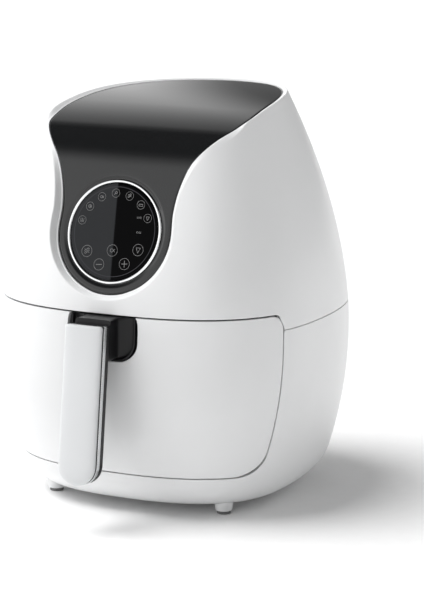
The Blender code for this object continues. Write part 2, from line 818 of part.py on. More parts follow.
def straight_ring(grow, z):
    """The pan's top outline, grown sideways, at any height."""
    ring = pan_ring(grow, PAN_TOP)
    return [(x, y, z) for x, y, _ in ring]


def make_chamber():
    low = PAN_BOTTOM - LINER_BELOW_PAN
    outer = LINER_CLEARANCE
    liner = loft("chamber_liner", [straight_ring(outer, low), straight_ring(outer, LINER_TOP)], STEEL)
    inner = outer - LINER_WALL
    hollow_rings = [straight_ring(inner, low + LINER_WALL), straight_ring(inner, LINER_TOP + ROOM)]
    hollow = loft("liner_hollow", hollow_rings)
    front = block(
        "liner_front",
        (-ROOM, -ROOM, 0),
        (ROOM, DRAWER_SIDE_TOP_Y + 2 * DRAWER_GAP, DRAWER_TOP + LINER_LIP),
    )
    plunger_hole = rod_along_y("plunger_hole", PLUNGER_RADIUS + RUNNING_GAP, (0, SWITCH_Z), 0, ROOM)
    cut(liner, hollow, front, plunger_hole)
    smooth(liner)

    plate_low = LINER_TOP + GAP
    shaft_hole = turned("shaft_hole", (SHAFT_RADIUS + RUNNING_GAP,) * 2, 0, BODY_HEIGHT)
    plate = loft(
        "reflector_plate",
        [straight_ring(outer - PLATE_MARGIN, z) for z in (plate_low, plate_low + PLATE_THICKNESS)],
        STEEL,
    )
    cut(plate, shaft_hole)
    shield = loft(
        "heat_shield",
        [straight_ring(0, SHIELD_Z), straight_ring(0, SHIELD_Z + PLATE_THICKNESS)],
        STEEL,
    )
    spacer_low = plate_low + PLATE_THICKNESS + GAP
    spacer_high = SHIELD_Z + PLATE_THICKNESS / 2
    for x in (-1, 1):
        for y in (-1, 1):
            place = (x * PAN_HALF_WIDTH * SPACER_SHARE, y * PAN_FRONT * SPACER_SHARE)
            name = f"spacer_{x}_{y}"
            join(shield, turned(name, (SPACER_RADIUS,) * 2, spacer_low, spacer_high, place, sides=12))
    cut(shield, shaft_hole)


def make_rails():
    """Strips on the chamber's walls that carry the pan's flange, each with a leaf spring behind it."""
    wall_grow = LINER_CLEARANCE - LINER_WALL - GAP
    within = loft("within_liner", [straight_ring(wall_grow, 0), straight_ring(wall_grow, PAN_TOP)])
    inner_wall = PAN_HALF_WIDTH + LINER_CLEARANCE
    high = PAN_TOP - PAN_FLANGE_THICKNESS - GAP
    for side, name in ((-1, "left"), (1, "right")):
        ends = sorted((side * inner_wall, side * (PAN_HALF_WIDTH + RUNNING_GAP)))
        low_corner = (ends[0], -RAIL_FRONT, high - RAIL_HEIGHT)
        high_corner = (ends[1], RAIL_BACK, high)
        keep(block(f"drawer_rail_{name}", low_corner, high_corner, STEEL), within)
        spring_in = side * (PAN_HALF_WIDTH + RUNNING_GAP)
        spring_ends = sorted((spring_in, spring_in + side * LATCH_THICKNESS))
        spring_top = high - RAIL_HEIGHT - GAP
        block(
            f"latch_spring_{name}",
            (spring_ends[0], -LATCH_HALF_LENGTH, spring_top - LATCH_HEIGHT),
            (spring_ends[1], LATCH_HALF_LENGTH, spring_top),
            STEEL,
        )


def pan_with_flange(name, material):
    flange_low = PAN_TOP - PAN_FLANGE_THICKNESS
    levels = [PAN_BOTTOM, PAN_BOTTOM + PAN_FOOT_ROUND_UP, flange_low, flange_low, PAN_TOP]
    grows = [-PAN_FOOT_ROUND_IN, 0, 0, PAN_FLANGE, PAN_FLANGE]
    return loft(name, [pan_ring(grow, z) for grow, z in zip(grows, levels)], material)


def make_pan():
    pan = pan_with_flange("pan", COATING)
    floor = PAN_BOTTOM + PAN_WALL
    hollow = loft(
        "pan_hollow",
        [
            pan_ring(-PAN_FOOT_ROUND_IN - PAN_WALL, floor),
            pan_ring(-PAN_WALL, floor + PAN_FOOT_ROUND_UP),
            pan_ring(-PAN_WALL, PAN_TOP),
            straight_ring(-PAN_WALL, PAN_TOP + OVERRUN),
        ],
    )
    cut(pan, hollow, *screw_holes())
    smooth(pan)


def tray_ring(z):
    return pan_ring(-PAN_WALL - TRAY_MARGIN, z)


def tray_hole_places():
    """Every other point of a square grid inside a circle that leaves the tray's edge whole."""
    reach = int((PAN_HALF_WIDTH - TRAY_MARGIN) / TRAY_HOLE_PITCH)
    places = []
    for row in range(-reach, reach + 1):
        for column in range(-reach, reach + 1):
            if (row + column) % 2 == 0 and math.hypot(row, column) < reach - TRAY_RIM_SHARE:
                places.append((column * TRAY_HOLE_PITCH, row * TRAY_HOLE_PITCH))
    return places


def make_tray():
    """The perforated crisper plate, held off the pan's walls by four silicone bumpers."""
    low = PAN_BOTTOM + PAN_WALL + TRAY_ABOVE_FLOOR
    ring = [(x, y) for x, y, _ in tray_ring(low)]
    rings = [[(x, y, z) for x, y in ring] for z in (low, low + TRAY_THICKNESS)]
    tray = loft("crisper_tray", rings, COATING)
    below, above = low - OVERRUN, low + OVERRUN
    cut(tray, posts("tray_holes", tray_hole_places(), TRAY_HOLE_RADIUS, below, above, 6))
    edge = PAN_HALF_WIDTH - PAN_TAPER - PAN_WALL - TRAY_MARGIN
    front = PAN_FRONT - PAN_TAPER - PAN_WALL - TRAY_MARGIN
    back = PAN_BACK - PAN_TAPER - PAN_WALL - TRAY_MARGIN
    seats = [(edge, 0), (0, back), (-edge, 0), (0, -front)]
    places = []
    for i, (x, y) in enumerate(seats):
        length = math.hypot(x, y)
        inward = BUMPER_RADIUS - TRAY_MARGIN + BUMPER_PAST_EDGE
        place = (x - x / length * inward, y - y / length * inward)
        foot, head = low - BUMPER_HEIGHT / 2, low + BUMPER_HEIGHT / 2
        smooth(turned(f"tray_bumper_{i + 1}", (BUMPER_RADIUS,) * 2, foot, head, place, SILICONE, 16))
        places.append(place)
    cut(tray, posts("bumper_slots", places, BUMPER_RADIUS + GAP, below, above, 16))
    smooth(tray)


# ---------------------------------------------------------------- drawer front and handle

def screw_places():
    middle = ARM_TOP - ARM_HEIGHT / 2
    return [middle - SCREW_PITCH / 2, middle + SCREW_PITCH / 2]


def screw_holes():
    """Clearance holes for the two handle screws, from inside the pan into the arm."""
    holes = []
    for i, z in enumerate(screw_places()):
        name = f"screw_hole_{i + 1}"
        if name in bpy.data.objects:
            holes.append(bpy.data.objects[name])
            continue
        holes.append(rod_along_y(name, SCREW_RADIUS + GAP, (0, z), -ROOM, 0))
    return holes


def make_drawer_front():
    front = egg("drawer_front", 0, WHITE)
    cut(front, egg("front_back", FRONT_WALL))
    keep(front, prism("front_shape", drawer_outline(-DRAWER_GAP), ROOM, "X"))
    pocket = prism("pocket_hole", pocket_outline(GAP, DRAWER_TOP + OVERRUN), ROOM / 2, "Y")
    pocket.location.y = -ROOM / 2
    cut(front, pocket)


def pocket_floor_y():
    return -(FRONT_DEPTH - POCKET_DEPTH)


def make_pocket():
    """The black tray behind the handle arm: the pocket's floor and side walls."""
    top = DRAWER_TOP - DRAWER_GAP
    back = pocket_floor_y() + POCKET_WALL
    cup = prism("handle_pocket", pocket_outline(0, top), ROOM / 2, "Y", BLACK)
    cup.location.y = back - ROOM / 2
    keep(cup, egg("pocket_skin", POCKET_SET_BACK))
    hollow = prism("pocket_hollow", pocket_outline(-POCKET_WALL, DRAWER_TOP + OVERRUN), ROOM / 2, "Y")
    hollow.location.y = pocket_floor_y() - ROOM / 2
    cut(cup, hollow, *screw_holes())


def leaning_layer(name, depth, thickness, set_in, material):
    """A layer of the handle: an upright bar with a round lower end, tipped out at the bottom."""
    side = HANDLE_HALF_WIDTH - set_in
    length = HANDLE_LENGTH - set_in
    outline = rounded(
        [
            (-side, 0, 0),
            (-side, -length, side * END_ROUND_SHARE),
            (side, -length, side * END_ROUND_SHARE),
            (side, 0, 0),
        ]
    )
    layer = prism(name, outline, thickness / 2, "Y", material)
    middle = depth + thickness / 2
    lean = Matrix.Rotation(-HANDLE_LEAN, 4, "X")
    at_top = Matrix.Translation((0, HANDLE_TOP_Y, ARM_TOP - set_in))
    layer.matrix_basis = at_top @ lean @ Matrix.Translation((0, middle, 0)) @ layer.matrix_basis
    return layer


def make_handle():
    cover = leaning_layer("handle_cover", 0, COVER_THICKNESS, 0, WHITE)
    bevel = cover.modifiers.new("Rounded face", "BEVEL")
    bevel.width = COVER_ROUND
    bevel.segments = 2
    bevel.limit_method = "ANGLE"
    bevel.use_clamp_overlap = True
    trim_depth = COVER_THICKNESS + GAP
    leaning_layer("handle_trim", trim_depth, TRIM_THICKNESS, TRIM_SET_IN, SILVER)
    core_depth = trim_depth + TRIM_THICKNESS + GAP
    leaning_layer("handle_core", core_depth, CORE_THICKNESS, TRIM_SET_IN, BLACK)

    handle_back = HANDLE_TOP_Y + (core_depth + CORE_THICKNESS + GAP) / math.cos(HANDLE_LEAN)
    arm_low = ARM_TOP - ARM_HEIGHT
    low_back = handle_back - ARM_HEIGHT * math.tan(HANDLE_LEAN)
    side_view = rounded(
        [
            (handle_back, ARM_TOP, 0),
            (low_back, arm_low, 0),
            (pocket_floor_y() - GAP, arm_low, 0),
            (pocket_floor_y() - GAP, ARM_TOP, 0),
        ]
    )
    arm = prism("handle_arm", side_view, ARM_HALF_WIDTH, "X", BLACK)
    cut(arm, *screw_holes())
    for i, z in enumerate(screw_places()):
        head_low = z - SCREW_HEAD_RADIUS
        wall = PAN_FRONT - PAN_TAPER * (PAN_TOP - head_low) / PAN_HEIGHT - PAN_WALL
        head_front = -wall + GAP
        tip = -(FRONT_DEPTH + SCREW_REACH)
        name = f"handle_screw_{i + 1}"
        screw = rod_along_y(name, SCREW_RADIUS, (0, z), tip, head_front + GAP, STEEL, 16)
        head_back = head_front + SCREW_HEAD_HEIGHT
        head = rod_along_y(f"screw_head_{i + 1}", SCREW_HEAD_RADIUS, (0, z), head_front, head_back)
        join(smooth(screw), head)


# ---------------------------------------------------------------- hot-air works

def make_heater():
    """A sheathed element wound flat, with a wire guard below it."""
    z = PAN_TOP + HEATER_ABOVE_PAN
    curve = bpy.data.curves.new("heating_element", "CURVE")
    curve.dimensions = "3D"
    curve.bevel_depth = HEATER_WIRE
    curve.bevel_resolution = 2
    curve.use_fill_caps = True
    spline = curve.splines.new("POLY")
    count = 50
    spline.points.add(count - 1)
    for i, point in enumerate(spline.points):
        share = i / (count - 1)
        angle = 2 * math.pi * HEATER_TURNS * share
        radius = HEATER_INNER + (HEATER_OUTER - HEATER_INNER) * share
        point.co = (radius * math.cos(angle), radius * math.sin(angle), z, 1)
    obj = bpy.data.objects.new("heating_element", curve)
    obj.parent = FRAME
    curve.materials.append(INCOLOY)
    PARTS.objects.link(obj)


def wire_ring(name, radius, z, material=None):
    """A ring of round wire, lying flat."""
    bm = bmesh.new()
    circle = bmesh.ops.create_circle(bm, segments=6, radius=GUARD_WIRE)
    turn = Matrix.Translation((radius, 0, z)) @ Matrix.Rotation(math.pi / 2, 4, "X")
    bmesh.ops.transform(bm, matrix=turn, verts=circle["verts"])
    edges = list(bm.edges)
    turn = 2 * math.pi
    bmesh.ops.spin(bm, geom=edges, cent=(0, 0, 0), axis=(0, 0, 1), angle=turn, steps=24, use_merge=True)
    bmesh.ops.remove_doubles(bm, verts=bm.verts, dist=0.00001)
    return add(name, mesh_from(name, bm), material)


def make_guard():
    z = PAN_TOP + GUARD_ABOVE_PAN
    guard = wire_ring("heater_guard", GUARD_RADIUS, z, STEEL)
    join(guard, wire_ring("guard_inner", GUARD_RADIUS / 2, z))
    reach = PAN_HALF_WIDTH + LINER_CLEARANCE - LINER_WALL - GAP
    half = GUARD_WIRE * 0.8
    join(guard, block("guard_bar", (-reach, -half, z - half), (reach, half, z + half)))
    join(guard, block("guard_cross", (-half, -GUARD_RADIUS, z - half), (half, GUARD_RADIUS, z + half)))


def bladed(name, radius, hub, height, z, material):
    """A fan: a thin disc with a hub and straight blades standing on it, joined into one body."""
    disc = turned(name, (radius, radius), z, z + PLATE_THICKNESS, material=material, sides=40)
    join(disc, turned(f"{name}_hub", (hub, hub), z, z + height, sides=20))
    for i in range(FAN_BLADES):
        inner_corner = (hub * 0.8, -BLADE_HALF_THICKNESS, z + BLADE_SINK)
        outer_corner = (radius * 0.97, BLADE_HALF_THICKNESS, z + height)
        blade = block(f"{name}_blade_{i + 1}", inner_corner, outer_corner)
        blade.rotation_euler.z = 2 * math.pi * i / FAN_BLADES
        join(disc, blade)
    bore = turned(f"{name}_bore", (SHAFT_RADIUS + GAP,) * 2, z - OVERRUN, z + height + OVERRUN, sides=16)
    return cut(disc, bore)


def make_motor():
    fan_top = FAN_Z + FAN_HEIGHT
    bladed("convection_fan", FAN_RADIUS, FAN_HUB, FAN_HEIGHT, FAN_Z, STEEL)
    bladed("cooling_fan", COOLING_FAN_RADIUS, COOLING_FAN_HUB, COOLING_FAN_HEIGHT, COOLING_FAN_Z, BLACK)
    shaft_low = FAN_Z - NUT_HEIGHT - SHAFT_PAST_NUT
    shaft_high = MOTOR_TOP + SHAFT_PAST_MOTOR
    smooth(turned("motor_shaft", (SHAFT_RADIUS,) * 2, shaft_low, shaft_high, material=STEEL, sides=16))
    nut = turned("fan_nut", (NUT_RADIUS,) * 2, FAN_Z - NUT_HEIGHT - GAP, FAN_Z - GAP, material=STEEL, sides=6)
    cut(nut, turned("nut_bore", (SHAFT_RADIUS + GAP,) * 2, 0, fan_top, sides=16))

    bush_hole = turned("bush_hole", (BUSH_RADIUS + GAP,) * 2, COOLING_FAN_Z, BODY_HEIGHT, sides=24)
    bracket_top = BRACKET_Z + 2 * PLATE_THICKNESS
    bracket = turned("motor_bracket", (BRACKET_RADIUS,) * 2, BRACKET_Z, bracket_top, material=STEEL)
    leg_low = SHIELD_Z + PLATE_THICKNESS + GAP
    leg_high = BRACKET_Z + PLATE_THICKNESS
    leg_reach = (BRACKET_RADIUS + COOLING_FAN_RADIUS + RUNNING_GAP) / 2
    for i in range(4):
        angle = math.pi / 4 + math.pi / 2 * i
        place = (leg_reach * math.cos(angle), leg_reach * math.sin(angle))
        join(bracket, turned(f"bracket_leg_{i + 1}", (LEG_RADIUS,) * 2, leg_low, leg_high, place, sides=12))
    cut(bracket, bush_hole)

    can = smooth(turned("motor_housing", (MOTOR_RADIUS,) * 2, MOTOR_Z, MOTOR_TOP, material=STEEL, sides=36))
    room_radius = ROTOR_RADIUS + RUNNING_GAP
    room = turned("motor_room", (room_radius,) * 2, MOTOR_Z - OVERRUN, MOTOR_TOP - MOTOR_WALL, sides=32)
    cut(can, room, bush_hole)
    rotor_low = MOTOR_Z + ROTOR_END_GAP
    rotor_high = MOTOR_TOP - MOTOR_WALL - ROTOR_END_GAP
    rotor = smooth(turned("motor_rotor", (ROTOR_RADIUS,) * 2, rotor_low, rotor_high, material=STEEL))
    cut(rotor, turned("rotor_bore", (SHAFT_RADIUS + GAP,) * 2, 0, BODY_HEIGHT, sides=16))
    bush_bore = turned("bush_bore", (SHAFT_RADIUS + GAP,) * 2, 0, BODY_HEIGHT + OVERRUN, sides=16)
    bushes = (("lower_bush", BRACKET_Z - BUSH_PROUD), ("upper_bush", MOTOR_TOP - MOTOR_WALL - BUSH_PROUD))
    for name, low in bushes:
        bush = turned(name, (BUSH_RADIUS,) * 2, low, low + BUSH_LENGTH, material=BRONZE, sides=24)
        cut(smooth(bush), bush_bore)


# ---------------------------------------------------------------- electrics

def make_electrics():
    width, thickness, height = POWER_BOARD_SIZE
    low = SHIELD_Z + PLATE_THICKNESS + GAP
    block(
        "power_board",
        (-width / 2, POWER_BOARD_Y, low),
        (width / 2, POWER_BOARD_Y + thickness, low + height),
        BOARD,
    )
    liner_back = PAN_BACK + LINER_CLEARANCE
    width, depth, height = SWITCH_SIZE
    front = liner_back + GAP
    switch = block(
        "drawer_switch",
        (-width / 2, front, SWITCH_Z - height / 2),
        (width / 2, front + depth, SWITCH_Z + height / 2),
        BLACK,
    )
    plunger_back = front + depth * SWITCH_PLAY_SHARE
    hole_back = plunger_back + PLUNGER_TRAVEL + GAP
    cut(switch, rod_along_y("switch_bore", PLUNGER_RADIUS + GAP, (0, SWITCH_Z), 0, hole_back))
    pan_back = PAN_BACK - PAN_TAPER * (PAN_TOP - SWITCH_Z) / PAN_HEIGHT
    smooth(rod_along_y("switch_plunger", PLUNGER_RADIUS, (0, SWITCH_Z), pan_back + GAP, plunger_back, BLACK))

    grow = LINER_CLEARANCE - LINER_WALL
    share = (SENSOR_X + SENSOR_RADIUS) / (PAN_HALF_WIDTH + grow)
    wall = GAP - (PAN_FRONT + grow) * (1 - share**PAN_EXPONENT) ** (1 / PAN_EXPONENT)
    place = (SENSOR_X, LINER_TOP - SENSOR_BELOW_PLATE)
    smooth(rod_along_y("temperature_sensor", SENSOR_RADIUS, place, wall, wall + SENSOR_LENGTH, STEEL, 12))
    place = (FUSE_X, LINER_TOP + 2 * GAP + PLATE_THICKNESS + FUSE_RADIUS)
    fuse_y = -PAN_FRONT * FUSE_FRONT_SHARE
    smooth(rod_along_y("thermal_fuse", FUSE_RADIUS, place, fuse_y, fuse_y + FUSE_LENGTH, BLACK, 12))


make_casing()
make_panel()
make_display()
make_vent()
make_gland()
make_base()
make_deck()
make_feet()
make_chamber()
make_rails()
make_pan()
make_tray()
make_drawer_front()
make_pocket()
make_handle()
make_heater()
make_guard()
make_motor()
make_electrics()
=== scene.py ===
"""The looks of an egg-shaped digital air fryer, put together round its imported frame.

Metres, +Z up, the front faces -Y. The casing is one formula: at each height the section is a
superellipse, with one half-width and its own depth to the front and to the back, and the half-width
shrinks with the square of the distance from the widest height. The black panel lies on a sheet that
rolls over the crown: a power-law fall, a bend whose slope eases in and out, and a straight leaning
face. Lines on the casing are kept as (angle, z), lines on the sheet as (x, length along it).
"""

import math

import bmesh
import bpy
import numpy as np
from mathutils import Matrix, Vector


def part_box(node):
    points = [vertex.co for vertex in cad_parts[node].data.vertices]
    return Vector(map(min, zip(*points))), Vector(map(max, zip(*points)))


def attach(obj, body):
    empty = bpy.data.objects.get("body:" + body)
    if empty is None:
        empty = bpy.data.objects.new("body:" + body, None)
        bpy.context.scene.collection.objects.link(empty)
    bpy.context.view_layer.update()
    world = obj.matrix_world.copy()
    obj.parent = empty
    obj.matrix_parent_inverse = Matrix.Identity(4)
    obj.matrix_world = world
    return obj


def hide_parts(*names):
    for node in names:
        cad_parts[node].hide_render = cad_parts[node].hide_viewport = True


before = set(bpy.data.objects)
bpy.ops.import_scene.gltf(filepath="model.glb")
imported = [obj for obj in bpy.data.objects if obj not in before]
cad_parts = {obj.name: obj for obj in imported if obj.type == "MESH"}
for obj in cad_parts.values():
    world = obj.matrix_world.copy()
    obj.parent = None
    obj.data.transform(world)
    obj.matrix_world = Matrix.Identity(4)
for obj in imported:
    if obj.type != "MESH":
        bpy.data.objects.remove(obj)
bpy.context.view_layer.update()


# ------------------------------------------------------------------------------------------- camera
# A studio camera with a long lens, to the front right of the appliance and a little above it.

camera_azimuth = math.radians(26.6)
camera_elevation = math.radians(11.33)


def towards(azimuth, elevation):
    """The unit vector to a place; azimuth 0 is the front and grows to the right."""
    level = math.cos(elevation)
    return Vector((math.sin(azimuth) * level, -math.cos(azimuth) * level, math.sin(elevation)))


lens = bpy.data.cameras.new("studio_camera")
lens.lens = 149.13
lens.sensor_width = 36
camera = bpy.data.objects.new("studio_camera", lens)
camera.location = (0.9359, -1.7924, 0.5631)
camera.rotation_mode = "QUATERNION"
camera.rotation_quaternion = (-towards(camera_azimuth, camera_elevation)).to_track_quat("-Z", "Y")
bpy.context.scene.collection.objects.link(camera)
bpy.context.scene.camera = camera


# ------------------------------------------------------------------------------------------- studio
# A white sweep of paper, one broad lamp high on the left, a weak one behind on the right, and a room
# that is bright low down and dark overhead, which draws the dark bend across the glossy panel.

def node(tree, kind, *inputs, **settings):
    """A shader node with its settings; each input is (socket, value or an output to link)."""
    made = tree.nodes.new(kind)
    for key, value in settings.items():
        setattr(made, key, value)
    for socket, value in inputs:
        if isinstance(value, bpy.types.NodeSocket):
            tree.links.new(value, made.inputs[socket])
        else:
            made.inputs[socket].default_value = value
    return made


def ramp(tree, value, stops, smooth=True):
    """A colour ramp; each stop is (place, grey or colour)."""
    made = node(tree, "ShaderNodeValToRGB", ("Fac", value))
    elements = made.color_ramp.elements
    made.color_ramp.interpolation = "EASE" if smooth else "LINEAR"
    while len(elements) < len(stops):
        elements.new(0.5)
    for element, (place, colour) in zip(elements, stops):
        element.position = place
        grey = isinstance(colour, (int, float))
        element.color = (colour, colour, colour, 1) if grey else (*colour, 1)
    return made.outputs["Color"]


def mix(tree, factor, first, second, blend_type="MIX"):
    """Two colours mixed by a factor."""
    inputs = ("Factor", factor), (6, first), (7, second)
    return node(
        tree, "ShaderNodeMix", *inputs, data_type="RGBA", blend_type=blend_type
    ).outputs[2]


def between(tree, value, low, high):
    """A value from 0 to 1 spread over another range."""
    inputs = ("Value", value), ("To Min", low), ("To Max", high)
    return node(tree, "ShaderNodeMapRange", *inputs).outputs["Result"]


def sums(tree, operation, *values):
    """Arithmetic on values, by the name of the operation."""
    return node(tree, "ShaderNodeMath", *enumerate(values), operation=operation).outputs[0]


def noise(tree, place, scale, detail=2.0, distortion=0.0):
    """Fractal noise over a place."""
    inputs = ("Vector", place), ("Scale", scale), ("Detail", detail), ("Distortion", distortion)
    return node(tree, "ShaderNodeTexNoise", *inputs).outputs["Fac"]


def cells(tree, place, scale, feature="F1"):
    """The distance to the nearest cell's point, or to its edge."""
    inputs = ("Vector", place), ("Scale", scale)
    return node(tree, "ShaderNodeTexVoronoi", *inputs, feature=feature).outputs["Distance"]


def new_finish(name):
    """A material with its tree, its shader and the object's own coordinates."""
    material = bpy.data.materials.new(name)
    material.use_nodes = True
    tree = material.node_tree
    place = node(tree, "ShaderNodeTexCoord").outputs["Object"]
    return material, tree, tree.nodes["Principled BSDF"], place


def feed(tree, shader, **values):
    """Sets or links the shader's sockets; an underscore in a name stands for a space."""
    for key, value in values.items():
        socket = shader.inputs[key.replace("_", " ")]
        if isinstance(value, bpy.types.NodeSocket):
            tree.links.new(value, socket)
        else:
            socket.default_value = value


def bumped(tree, height, strength, distance):
    """The normal that a fine relief gives."""
    inputs = ("Height", height), ("Strength", strength), ("Distance", distance)
    return node(tree, "ShaderNodeBump", *inputs).outputs["Normal"]


def studio_room():
    """World light: a grey level that falls with height, times one that falls from left to right. The
    camera itself sees plain white."""
    world = bpy.data.worlds.new("studio_room")
    world.use_nodes = True
    tree = world.node_tree
    tree.nodes.clear()
    direction = node(tree, "ShaderNodeTexCoord").outputs["Generated"]
    height = node(tree, "ShaderNodeSeparateXYZ", ("Vector", direction)).outputs["Z"]
    levels = [(0.0, 1.0), (0.2, 0.85), (0.41, 0.75), (0.53, 0.4), (0.64, 0.12), (0.75, 0.02), (1.0, 0.02)]
    by_height = ramp(tree, height, levels, smooth=False)
    left = (-math.cos(camera_azimuth), -math.sin(camera_azimuth), 0)
    across = node(
        tree, "ShaderNodeVectorMath", (0, direction), (1, left), operation="DOT_PRODUCT"
    ).outputs["Value"]
    share = node(
        tree, "ShaderNodeMapRange", ("Value", across), ("From Min", -1.0), ("From Max", 1.0)
    ).outputs["Result"]
    sides = [(0.0, 0.30), (0.493, 0.14), (0.526, 0.95), (0.85, 1.0), (1.0, 1.5)]
    light = mix(tree, 1.0, by_height, ramp(tree, share, sides), "MULTIPLY")
    lit = node(tree, "ShaderNodeBackground", ("Color", light), ("Strength", 1.45)).outputs[0]
    white = (1, 1, 1, 1)
    seen = node(tree, "ShaderNodeBackground", ("Color", white), ("Strength", 1.1)).outputs[0]
    path = node(tree, "ShaderNodeLightPath").outputs["Is Camera Ray"]
    both = node(tree, "ShaderNodeMixShader", (0, path), (1, lit), (2, seen)).outputs[0]
    node(tree, "ShaderNodeOutputWorld", ("Surface", both))
    bpy.context.scene.world = world


def lamp(name, azimuth, elevation, strength, spread):
    """A broad distant lamp that gives no highlight; its angles are in degrees."""
    data = bpy.data.lights.new(name, "SUN")
    data.energy = strength
    data.angle = math.radians(spread)
    obj = bpy.data.objects.new(name, data)
    source = towards(math.radians(azimuth), math.radians(elevation))
    obj.rotation_mode = "QUATERNION"
    obj.rotation_quaternion = source.to_track_quat("Z", "Y")
    obj.location = source * 2
    obj.visible_glossy = False
    bpy.context.scene.collection.objects.link(obj)


def paper_sweep():
    """The floor: one very large flat sheet under the feet."""
    reach = 14.0
    mesh = bpy.data.meshes.new("paper_sweep")
    corners = [(-reach, -reach, 0), (reach, -reach, 0), (reach, reach, 0), (-reach, reach, 0)]
    mesh.from_pydata(corners, [], [(0, 1, 2, 3)])
    paper, tree, shader, place = new_finish("paper")
    tone = ramp(tree, noise(tree, place, 90.0, 4.0), [(0.0, 0.93), (1.0, 0.96)])
    feed(tree, shader, Base_Color=tone, Roughness=0.9, Specular_IOR_Level=0.1)
    mesh.materials.append(paper)
    floor = bpy.data.objects.new("paper_sweep", mesh)
    bpy.context.scene.collection.objects.link(floor)


studio_room()
lamp("key_lamp", azimuth=-70, elevation=62, strength=3.1, spread=42)
lamp("rim_lamp", azimuth=138, elevation=24, strength=0.85, spread=50)
paper_sweep()
bpy.context.scene.view_settings.view_transform = "Standard"
bpy.context.scene.view_settings.look = "None"


# ------------------------------------------------------------------------------------ lower housing
# The bottom half of the casing: one injection moulding in satin white ABS, open at the front for the
# drawer. Its upper edge is a plain parting line that meets the upper housing.

wall = 0.003
edge_round = 0.0005
lower_low, lower_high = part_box("lower_housing")
upper_low, upper_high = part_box("upper_housing")
shaft_low, shaft_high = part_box("motor_shaft")
axis_y = (shaft_low.y + shaft_high.y) / 2
body_bottom = lower_low.z
body_top = upper_high.z
half_width = lower_high.x
back_reach = lower_high.y - axis_y
front_reach = 0.1213
widest_z = 0.1314
crown_draw = 0.0488
base_draw = 0.0224
base_round_in = 0.014
base_round_up = 0.021
front_share = 1.075
back_share = 0.804
squaring_z = 0.150
front_power, front_squaring = 2.59, 0.87
back_power, back_squaring = 2.45, -0.41
opening_top = 0.1678
opening_bottom = 0.0352
opening_side_top = -0.0533
opening_side_foot = -0.0598
opening_slope = (opening_side_top - opening_side_foot) / (opening_top - opening_bottom)
opening_lean = math.degrees(math.atan(opening_slope))
opening_corner_top = 0.010
opening_corner_foot = 0.0185
plate_hole_half = 0.0583
plate_hole_power = 12.688
seam_z = lower_high.z
around = 241


def draw_in(z):
    """How much narrower the casing is at z: a square law above and below the widest height, plus the
    quarter ellipse that rounds the underside's edge."""
    above = crown_draw * (np.clip(z - widest_z, 0, None) / (body_top - widest_z)) ** 2
    below = base_draw * (np.clip(widest_z - z, 0, None) / (widest_z - body_bottom)) ** 2
    turn = np.clip((body_bottom + base_round_up - z) / base_round_up, 0, 1)
    return above + below + base_round_in * (1 - np.sqrt(1 - turn**2))


def section(z, inset, front):
    """Half-width, depth and power of the casing's superellipse at height z, for its front or back."""
    rise = np.clip((z - squaring_z) / (body_top - squaring_z), 0, 1)
    width = half_width - draw_in(z) - inset
    front_depth = front_reach - front_share * draw_in(z)
    back_depth = back_reach - back_share * draw_in(z)
    depth = np.where(front, front_depth, back_depth)
    to_front = front_power + front_squaring * rise
    to_back = back_power + back_squaring * rise
    return width, depth - inset, np.where(front, to_front, to_back)


def superellipse(angle, width, depth, power, z):
    """Points at height z about the axis, from the front centre towards +X: the radius at each angle is
    (|sin / width|^n + |cos / depth|^n)^(-1/n)."""
    across = np.abs(np.sin(angle) / width) ** power
    along = np.abs(np.cos(angle) / depth) ** power
    reach = (across + along) ** (-1 / power)
    return np.stack([reach * np.sin(angle), axis_y - reach * np.cos(angle), z], -1)


def casing(angle, z, inset=0.0):
    """Points of the casing at an angle and a height, all drawn in by an inset."""
    angle, z, inset = np.broadcast_arrays(np.asarray(angle, float), z, inset)
    return superellipse(angle, *section(z, inset, np.cos(angle) > 0), z)


def superellipse_side(place, half, other, power):
    """The other half-axis' coordinate of a superellipse where it passes a place on the first."""
    return other * (1 - np.clip(np.abs(place / half), 0, 1) ** power) ** (1 / power)


def front_angle(x, z):
    """The angle at which the casing's front passes over x at height z."""
    width, depth, power = section(z, 0.0, True)
    return np.arctan2(x, superellipse_side(x, width, depth, power))


def side_angle(y, z):
    """The angle at which the casing's right side passes y (measured from the axis, front negative)."""
    width, depth, power = section(z, 0.0, True)
    return np.arctan2(superellipse_side(y, depth, width, power), -y)


def resampled(line, count):
    """A polyline of (angle, z) rows spaced evenly along its length on the casing."""
    steps = np.linalg.norm(np.diff(casing(line[:, 0], line[:, 1]), axis=0), axis=1)
    length = np.concatenate([[0], np.cumsum(steps)])
    places = np.linspace(0, length[-1], count)
    return np.stack([np.interp(places, length, line[:, k]) for k in range(2)], -1)


def whole_turn(count):
    """Evenly spaced angles round a circle."""
    return np.linspace(0, 2 * math.pi, count, endpoint=False)


def arc(centre, radius, start, end, count=14):
    """Points on a circle between two angles in degrees."""
    turn = np.radians(np.linspace(start, end, count))
    return np.stack([centre[0] + radius * np.cos(turn), centre[1] + radius * np.sin(turn)], -1)


def straight(start, end, count):
    """Evenly spaced points from one point to another."""
    return np.stack([np.linspace(start[k], end[k], count) for k in range(2)], -1)


def opening_edge(z):
    """y of the drawer opening's straight side edge at height z, from the axis."""
    return opening_side_foot + opening_slope * (z - opening_bottom)


def opening_foot():
    """The opening's right edge from its foot up to the seam, in (y from the axis, z)."""
    corner_z = opening_bottom + opening_corner_foot
    corner_y = opening_edge(corner_z) - opening_corner_foot
    turn = arc((corner_y, corner_z), opening_corner_foot, -90, -opening_lean)
    return np.concatenate([turn, straight(turn[-1], (opening_edge(seam_z), seam_z), 30)[1:]])


def mirrored(half):
    """A line of (angle, z) from the front centre to the back centre, and back round the other side."""
    other = half[-2:0:-1] * np.array([-1, 1])
    return np.concatenate([half, other])


